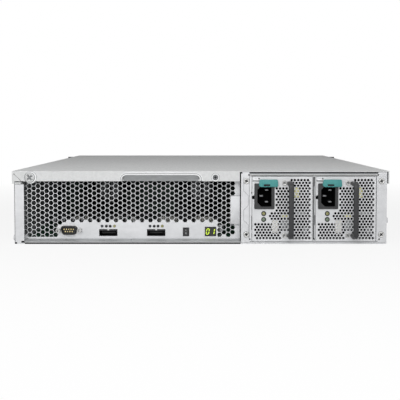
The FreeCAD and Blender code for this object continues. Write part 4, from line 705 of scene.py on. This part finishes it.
for x, z, size in ((frame_left + 10.4, 5.7, 0.95), (case_high.x + step + 4.1, 5.7, 0.95)):
    rod(gaps, x, z, size, cage_y - 0.1, cage_y + 0.1, 14)
keep(gaps, "rear_gap_shades", "chassis", "gap")
slab(hem, (hem_left + 0.4, cage_y - 0.35, 80.9), (hem_right - 0.4, cage_y + 0.1, 82.1), 0.15)
keep(hem, "cage_top_hem", "chassis", "cover")
folds = bmesh.new()
slab(folds, (hem_left + 0.4, cage_y - 0.2, 82.2), (hem_right - 0.4, cage_y + 0.1, 83.9))
slab(folds, (cage_low.x + 0.2, cage_y - 0.1, 56.5), (frame_left - 1.5, cage_y + 0.3, 57.1))
slab(folds, (cage_low.x - 0.2, cage_y - 0.1, 22.0), (frame_left - 1.5, cage_y + 0.3, 22.8))
slab(folds, (cage_high.x - 12.6, cage_y - 0.12, 5.0), (cage_high.x - 12.1, cage_y + 0.1, 80.0))
slab(folds, (hem_left - 0.2, cage_y - 0.12, 5.0), (hem_left + 0.3, cage_y + 0.1, 80.0))
slab(folds, (hem_left + 0.6, cage_y - 0.12, 2.6), (hem_right, cage_y + 0.1, 3.3))
slab(folds, (between - 0.3, cage_y - 0.05, 6.0), (between + 0.6, cage_y + 0.1, 68.0))
slab(folds, (0.1 - BODY_SIDE, cage_y - 0.1, 2.0), (0.8 - BODY_SIDE, cage_y + 0.2, 72.8))
keep(folds, "rear_fold_shades", "chassis", "edge")


# Power supplies: pierced faceplate, what stands behind it, tab, arm, screws and lamps --------------------------------

PIERCED = [(104.2, 129.0, 6.0, 76.5), (88.5, 104.2, 39.0, 66.0), (80.3, 104.2, 29.5, 39.0), (83.0, 104.2, 24.0, 30.0),
           (63.5, 94.0, 6.0, 24.0), (94.0, 104.2, 15.5, 24.0)]
HANDLE_SCREWS = [(98.5, 72.1), (98.5, 10.2)]
SCREW_CLEARANCE, HANDLE_HEAD, HANDLE_HEAD_PROUD = 4.8, 2.9, 1.5
PIERCED_RADIUS, PIERCED_STEP, PIERCED_RISE = 1.48, 3.85, 3.26
PIERCED_FIRST_X, PIERCED_FIRST_Z, PIERCED_COLUMNS, PIERCED_ROWS = 62.6, 6.9, 18, 22
PLATE_SHEET, LAMP_EDGE, LAMP_RADIUS = 1.0, 2.7, 1.8
INLET_HALF_WIDE, INLET_HALF_TALL = 9.65, 13.6
CAVITY_SHADE_DEEP, CAVITY_SHADE_HALF_TALL = 14.0, 11.9
BLADES = [(3.0, 7.0), (3.0, -7.0), (-3.6, 0.0)]
GRIP_WIDE, GRIP_THICK, GRIP_ROUND, GRIP_SHIFT = 5.8, 5.0, 1.3, 1.7


def pierced_spots():
    """Centres of the faceplate's round holes, for the left supply."""
    for row in range(PIERCED_ROWS):
        z = PIERCED_FIRST_Z + PIERCED_RISE * row
        for n in range(PIERCED_COLUMNS):
            x = PIERCED_FIRST_X + PIERCED_STEP * n + (PIERCED_STEP / 2 if row % 2 else 0.0)
            if any(l <= x <= r and b <= z <= t for l, r, b, t in PIERCED) and \
                    all(math.hypot(x - sx, z - sz) > SCREW_CLEARANCE for sx, sz in HANDLE_SCREWS):
                yield x, z


for n in (1, 2):
    shift = (n - 1) * step
    body = f"power_supply_{n}"
    face_y = case_low.y
    inlet_low, inlet_high = box_mm(f"psu_{n}_inlet")
    leds_low, leds_high = box_mm(f"psu_{n}_leds")
    latch_low, latch_high = box_mm(f"psu_{n}_latch")
    inlet_x, inlet_z = (inlet_low.x + inlet_high.x) / 2, (inlet_low.z + inlet_high.z) / 2
    led_x, led_zs = (leds_low.x + leds_high.x) / 2, (leds_low.z + LAMP_EDGE, leds_high.z - LAMP_EDGE)

    sheet = bmesh.new()
    lines = [box_line(sheet, case_low.x + shift, case_high.x + shift, case_low.z, case_high.z),
             box_line(sheet, inlet_x - INLET_HALF_WIDE, inlet_x + INLET_HALF_WIDE, inlet_z - INLET_HALF_TALL,
                      inlet_z + INLET_HALF_TALL),
             box_line(sheet, latch_low.x - 0.1, latch_low.x + 3.6, latch_low.z - 0.3, latch_low.z + 4.2)]
    lines += [ring(sheet, led_x, z, 2.75, 20) for z in led_zs]
    lines += [ring(sheet, x + shift, z, PIERCED_RADIUS, 10, 18.0) for x, z in pierced_spots()]
    plate(sheet, lines, face_y, face_y + PLATE_SHEET, 0.15, 1)
    keep(sheet, f"psu_{n}_pierced_plate", body, "sheet", (f"psu_{n}_faceplate",), 0)

    # A near-black block behind the faceplate: painted shade for the unlit inside of the supply.
    within = bmesh.new()
    slab(within, (case_low.x + shift + 1.3, face_y + 20.0, case_low.z + 1.3),
         (case_high.x + shift - 1.3, face_y + 150.0, case_high.z - 1.3))
    keep(within, f"psu_{n}_unlit_inside", body, "inside")
    for name, finish, low, high in (
        ("winding", "tape", (110.4, 1.15, 54.6), (115.9, 9.0, 66.6)),
        ("coil", "tape", (94.6, 2.2, 31.0), (104.0, 9.0, 34.4)),
        ("white_header", "nylon", (84.0, 1.1, 13.0), (91.6, 9.0, 28.0)),
        ("heat_spreader", "foil", (111.5, 2.4, 33.8), (126.0, 4.0, 37.6)),
        ("side_spreader", "foil", (95.5, 3.4, 15.5), (104.0, 5.0, 28.0)),
        ("edge_spreader", "foil", (121.0, 4.4, 12.0), (127.0, 6.0, 19.5)),
    ):
        block = bmesh.new()
        slab(block, (low[0] + shift, face_y + low[1], low[2]), (high[0] + shift, face_y + high[1], high[2]), 0.6, 3)
        keep(block, f"psu_{n}_{name}", body, finish)

    tab = bmesh.new()
    tab_left, tab_right, tab_low, tab_high = latch_low.x + 6.2, latch_high.x, latch_high.z - 8.8, latch_high.z
    wedge = loop(tab, [(tab_left + 1.2, tab_high - 0.6), (tab_left + 2.0, tab_high), (tab_right - 1.2, tab_high),
                       (tab_right - 0.5, tab_high - 0.8), (tab_right, tab_low + 1.8), (tab_right - 0.6, tab_low + 0.5),
                       (tab_right - 2.0, tab_low), (tab_left + 3.0, tab_low), (tab_left + 1.0, tab_low + 0.8),
                       (tab_left, tab_low + 2.4)])
    slot = box_line(tab, tab_left + 5.9, tab_left + 13.4, tab_low + 1.0, tab_low + 3.3)
    plate(tab, [wedge, slot], latch_low.y, latch_low.y + 2.4, 0.7, 3)
    keep(tab, f"psu_{n}_release_tab", f"psu_{n}_release", "teal", (f"psu_{n}_latch",))
    arm = bmesh.new()
    arm_z = latch_high.z - 1.2
    slab(arm, (latch_low.x, face_y - 2.6, arm_z), (tab_left + 2.0, face_y + 3.2, latch_high.z), 0.15)
    slab(arm, (latch_low.x, face_y + 1.3, latch_low.z), (latch_low.x + 1.0, face_y + 3.3, latch_high.z), 0.15)
    slab(arm, (latch_low.x, face_y + 0.3, latch_low.z), (latch_low.x + 1.0, face_y + 3.3, latch_low.z + 3.4), 0.15)
    keep(arm, f"psu_{n}_spring_arm", f"psu_{n}_release", "spring")

    shade = bmesh.new()
    slab(shade, (case_low.x + shift + 0.4, face_y - 0.1, 74.0), (tab_left + 0.6, face_y + 0.1, 74.9))
    slab(shade, (tab_left - 0.1, face_y - 0.1, 75.2), (tab_left + 1.2, face_y + 0.1, 77.9))
    slab(shade, (case_low.x + shift - 0.2, face_y - 0.1, 53.2), (inlet_low.x - 0.1, face_y + 0.1, 56.8))
    keep(shade, f"psu_{n}_arm_shades", body, "gap")

    cavity = OPENINGS[f"psu_{n}_inlet_cavity"]
    # Near-black walls round the inlet's cavity: painted shade where the cavity is unlit.
    cavity_shade, blades = bmesh.new(), bmesh.new()
    left, right = cavity[0][0] - 6.4, cavity[1][0]
    front, deep = face_y + 0.2, face_y + CAVITY_SHADE_DEEP
    foot, head = inlet_z - CAVITY_SHADE_HALF_TALL, inlet_z + CAVITY_SHADE_HALF_TALL
    slab(cavity_shade, (left, deep, foot), (right, face_y + 14.3, head))
    slab(cavity_shade, (left, front, inlet_z + 11.5), (right, deep, head))
    slab(cavity_shade, (right - 0.35, front, foot), (right, deep, head))
    slab(cavity_shade, (left, front, foot), (right, deep, inlet_z - 11.5))
    keep(cavity_shade, f"psu_{n}_inlet_shade_lining", body, "inside")
    for x, z in ((inlet_x + across, inlet_z + up) for across, up in BLADES):
        slab(blades, (x - 2.1, face_y + 3.8, z - 1.05), (x + 2.1, face_y + 15.0, z + 1.05), 0.7, 4)
    keep(blades, f"psu_{n}_inlet_blades", body, "blade")

    handle_low, handle_high = box_mm(f"psu_{n}_handle")
    grip = bmesh.new()
    foot_z, head_z, out = handle_low.z, handle_high.z, -handle_low.y
    plate(grip, [loop(grip, arch(foot_z, head_z, -face_y - 1.0, out, 7.0)
                      + arch(foot_z + GRIP_THICK, head_z - GRIP_THICK, -face_y - 1.0, out - GRIP_THICK, 3.5)[::-1])],
          0.0, GRIP_WIDE)
    bmesh.ops.transform(grip, verts=grip.verts, matrix=Matrix.Translation((handle_low.x + GRIP_SHIFT, 0.0, 0.0))
                        @ Matrix(((0, 1, 0, 0), (0, 0, -1, 0), (1, 0, 0, 0), (0, 0, 0, 1))))
    bmesh.ops.recalc_face_normals(grip, faces=grip.faces)
    soften(grip, [e for e in grip.edges if e.calc_face_angle(0) > 0.7], GRIP_ROUND, 4)
    keep(grip, f"psu_{n}_grip", body, "handle", (f"psu_{n}_handle",))

    heads, shade = bmesh.new(), bmesh.new()
    for (x, z), turn in zip(HANDLE_SCREWS, (30.0 + 25 * n, 75.0 - 20 * n)):
        cross_screw(heads, shade, x + shift, z, HANDLE_HEAD, face_y - HANDLE_HEAD_PROUD, face_y, turn)
    keep(heads, f"psu_{n}_handle_screws", body, "nickel")
    keep(shade, f"psu_{n}_screw_shades", body, "edge")
    rims = bmesh.new()
    for z in led_zs:
        plate(rims, [ring(rims, led_x, z, 2.95, 24), ring(rims, led_x, z, 1.75, 24)],
              face_y - 0.65, face_y + 0.2, 0.25)
    keep(rims, f"psu_{n}_lamp_bezels", body, "bezel")
    for z, finish, which in zip(led_zs, ("lens_green", "lens_olive"), ("lower", "upper")):
        dome = bmesh.new()
        rod(dome, led_x, z, LAMP_RADIUS, face_y - 0.7, face_y + 4.0, 24, 0.5)
        keep(dome, f"psu_{n}_lamp_{which}", body, finish, (f"psu_{n}_leds",) if which == "lower" else ())


# Expander board: what is soldered to it, seen through the vents and with the cover off -------------------------------

board_low, board_high = box_mm("expander_board")
SINK_TALL, SINK_HALF, FIN_STEP = 14.0, 21.0, 8.1
board_top = board_high.z - SINK_TALL


def can(shape, x, y, radius, foot, top):
    """An upright round part of the board, its rim rounded."""
    made = bmesh.ops.create_cone(shape, cap_ends=True, segments=20, radius1=radius, radius2=radius, depth=top - foot,
                                 matrix=Matrix.Translation((x, y, (foot + top) / 2)))
    soften(shape, [e for e in edges_of(made["verts"]) if all(v.co.z > top - 0.01 for v in e.verts)], radius * 0.18, 3)


chips, cans, sleeves, headers, sink = (bmesh.new() for _ in range(5))
for x, y, wide, deep, tall in ((-180, -130, 14, 14, 1.2), (-150, -175, 10, 18, 1.6), (-125, -120, 20, 20, 1.4),
                               (-40, -130, 12, 12, 1.2), (-20, -180, 16, 8, 1.6), (10, -150, 9, 9, 1.0),
                               (5, -118, 12, 6, 1.4), (-185, -190, 8, 8, 1.0)):
    slab(chips, (x - wide / 2, y - deep / 2, board_top), (x + wide / 2, y + deep / 2, board_top + tall), 0.25)
for n in range(9):
    can(cans, -200 + 12.5 * n, -102, 3.2, board_top, board_top + 9.0)
    can(sleeves, -200 + 12.5 * n, -102, 3.35, board_top, board_top + 2.4)
for n in range(4):
    can(cans, -8 + 11.0 * n, -208, 4.2, board_top, board_top + 10.5)
    can(sleeves, -8 + 11.0 * n, -208, 4.35, board_top, board_top + 2.8)
for x in (-165.0, -105.0, -45.0, 5.0):
    slab(headers, (x - 13, -97, board_top), (x + 13, -93, board_top + 7.5), 0.3)
sink_x, sink_y = (board_low.x + board_high.x) / 2, (board_low.y + board_high.y) / 2
for n in range(6):
    x = sink_x - SINK_HALF + FIN_STEP * n
    slab(sink, (x - 0.15, sink_y - 21.15, board_top + 0.4), (x + 1.65, sink_y + 21.15, board_high.z - 0.02), 0.2)
slab(sink, (sink_x - 21.2, sink_y - 21.2, board_top + 0.05), (sink_x + 21.2, sink_y + 21.2, board_top + 3.15), 0.3)
keep(chips, "expander_chips", "chassis", "black")
keep(cans, "expander_capacitor_cans", "chassis", "cast")
keep(sleeves, "expander_capacitor_sleeves", "chassis", "inlet")
keep(headers, "expander_headers", "chassis", "nylon")
keep(sink, "expander_heat_sink", "chassis", "cast")


# Fans: hub caps -----------------------------------------------------------------------------------------------------

for n in (1, 2, 3):
    rotor_low, rotor_high = box_mm(f"fan_rotor_{n}")
    x, z = (rotor_low.x + rotor_high.x) / 2, (rotor_low.z + rotor_high.z) / 2
    cap = bmesh.new()
    rod(cap, x, z, 15.5, rotor_low.y - 0.25, rotor_low.y + 1.0, 40, 0.6)
    keep(cap, f"fan_{n}_hub_cap", f"fan_{n}", "foil")


# Drive carriers: disks, touch pads, grip ribs and lamps -------------------------------------------------------------

DISK_HALF_WIDE, DISK_HALF_TALL, LID_HALF_WIDE = 50.95, 12.72, 46.0
PAD_HALF_TALL, LAMP_RISE = 5.0, 8.6

for n in range(1, 13):
    bezel_low, bezel_high = box_mm(f"drive_carrier_{n}")
    lever_high = box_mm(f"carrier_lever_{n}")[1]
    x, z = (bezel_low.x + bezel_high.x) / 2, (bezel_low.z + bezel_high.z) / 2
    front = bezel_high.y
    disk, lid, pad, ribs = (bmesh.new() for _ in range(4))
    slab(disk, (x - DISK_HALF_WIDE, bezel_low.y + 0.02, z - DISK_HALF_TALL),
         (x + DISK_HALF_WIDE, front - 12.2, z + DISK_HALF_TALL), 0.9, 3)
    slab(lid, (x - LID_HALF_WIDE, bezel_low.y + 16.0, z + 12.6), (x + LID_HALF_WIDE, front - 18.0, z + 12.85), 0.1)
    keep(disk, f"disk_{n}_housing", f"carrier_{n}", "cast")
    keep(lid, f"disk_{n}_lid", f"carrier_{n}", "nickel")
    slab(pad, (lever_high.x - 10.5, lever_high.y - 0.3, z - PAD_HALF_TALL),
         (lever_high.x - 1.2, front - 0.1, z + PAD_HALF_TALL), 0.25, 3)
    keep(pad, f"lever_{n}_touch_pad", f"lever_{n}", "teal")
    for k in range(4):
        slab(ribs, (lever_high.x - 20.0 + 2.0 * k, lever_high.y - 0.3, z - PAD_HALF_TALL),
             (lever_high.x - 19.1 + 2.0 * k, front - 0.15, z + PAD_HALF_TALL), 0.2)
    keep(ribs, f"lever_{n}_grip_ribs", f"lever_{n}", "handle")
    for lift, finish, which in ((LAMP_RISE, "lens_green", "upper"), (-LAMP_RISE, "lens_olive", "lower")):
        lamp = bmesh.new()
        slab(lamp, (bezel_high.x - 8.0, front - 2.0, z + lift - 0.8),
             (bezel_high.x - 4.0, front - 0.02, z + lift + 0.8), 0.3)
        keep(lamp, f"carrier_{n}_lamp_{which}", f"carrier_{n}", finish)


# Floor, light and camera --------------------------------------------------------------------------------------------

def pale_floor():
    # White studio sweep: keeps the soft shadow close in and fades into the white surround further out.
    made, tree, shader = start_finish("white_studio_floor", "#f2f2f2", 0.0, 0.9, Specular_IOR_Level=0.0)
    place = add_node(tree, "ShaderNodeTexCoord")
    length = add_node(tree, "ShaderNodeVectorMath", {0: place.outputs["Object"]}, operation="LENGTH")
    fade = add_node(tree, "ShaderNodeMapRange", {"Value": length.outputs["Value"], "From Min": 0.3, "From Max": 0.9,
                                                 "To Min": 0.86, "To Max": 1.0})
    path = add_node(tree, "ShaderNodeLightPath")
    seen = add_node(tree, "ShaderNodeMath", {0: path.outputs["Is Camera Ray"], 1: path.outputs["Is Glossy Ray"]},
                    operation="MAXIMUM")
    share = add_node(tree, "ShaderNodeMath", {0: seen.outputs[0], 1: fade.outputs["Result"]}, operation="MULTIPLY")
    white = add_node(tree, "ShaderNodeEmission", {"Color": (1, 1, 1, 1), "Strength": 1.0})
    mix = add_node(tree, "ShaderNodeMixShader", {0: share.outputs[0], 1: shader.outputs[0], 2: white.outputs[0]})
    tree.links.new(mix.outputs[0], tree.nodes["Material Output"].inputs["Surface"])
    return made


ground = bmesh.new()
bmesh.ops.create_grid(ground, x_segments=1, y_segments=1, size=6.0)
ground_mesh = bpy.data.meshes.new("studio_floor")
ground.to_mesh(ground_mesh)
ground.free()
ground_mesh.materials.append(pale_floor())
studio_floor = bpy.data.objects.new("studio_floor", ground_mesh)
bpy.context.scene.collection.objects.link(studio_floor)

world = bpy.data.worlds.new("studio_surround")
world.use_nodes = True
sky = world.node_tree
path = add_node(sky, "ShaderNodeLightPath")
seen = add_node(sky, "ShaderNodeMath", {0: path.outputs["Is Camera Ray"], 1: path.outputs["Is Glossy Ray"]},
                operation="MAXIMUM")
seen = add_node(sky, "ShaderNodeMath", {0: seen.outputs[0], 1: path.outputs["Is Transmission Ray"]},
                operation="MAXIMUM")
level = add_node(sky, "ShaderNodeMapRange", {"Value": seen.outputs[0], "To Min": 0.215, "To Max": 1.0})
back = sky.nodes["Background"]
back.inputs["Color"].default_value = (1, 1, 1, 1)
sky.links.new(level.outputs["Result"], back.inputs["Strength"])
bpy.context.scene.world = world


def softbox(name, spot, aim, wide, tall, watts):
    """A large even lamp that looks at a point; places in metres."""
    lamp = bpy.data.lights.new(name, "AREA")
    lamp.shape, lamp.size, lamp.size_y, lamp.energy = "RECTANGLE", wide, tall, watts
    held = bpy.data.objects.new(name, lamp)
    held.location = spot
    held.rotation_euler = (Vector(aim) - Vector(spot)).to_track_quat("-Z", "Y").to_euler()
    bpy.context.scene.collection.objects.link(held)


softbox("key_softbox", (-0.08, -0.86, 0.44), (0.0, -0.22, 0.05), 0.9, 0.36, 2.9)
softbox("rear_edge_strip", (0.0, -0.26, 0.5), (0.0, -0.22, 0.08), 0.9, 0.2, 0.4)
softbox("fill_softbox", (-0.5, -1.9, 0.4), (0.0, -0.25, 0.04), 1.6, 0.6, 4.0)

CAMERA_TILT = 2.85
camera = bpy.data.cameras.new("camera")
camera.lens, camera.sensor_width = 70.71, 36.0
camera.shift_x, camera.shift_y = -0.0053, -0.085
viewer = bpy.data.objects.new("camera", camera)
viewer.location = (0.0018, -1.1742, 0.1378)
viewer.rotation_euler = (math.radians(90 - CAMERA_TILT), 0.0, 0.0)
bpy.context.scene.collection.objects.link(viewer)
bpy.context.scene.camera = viewer
bpy.context.scene.view_settings.view_transform = "Standard"
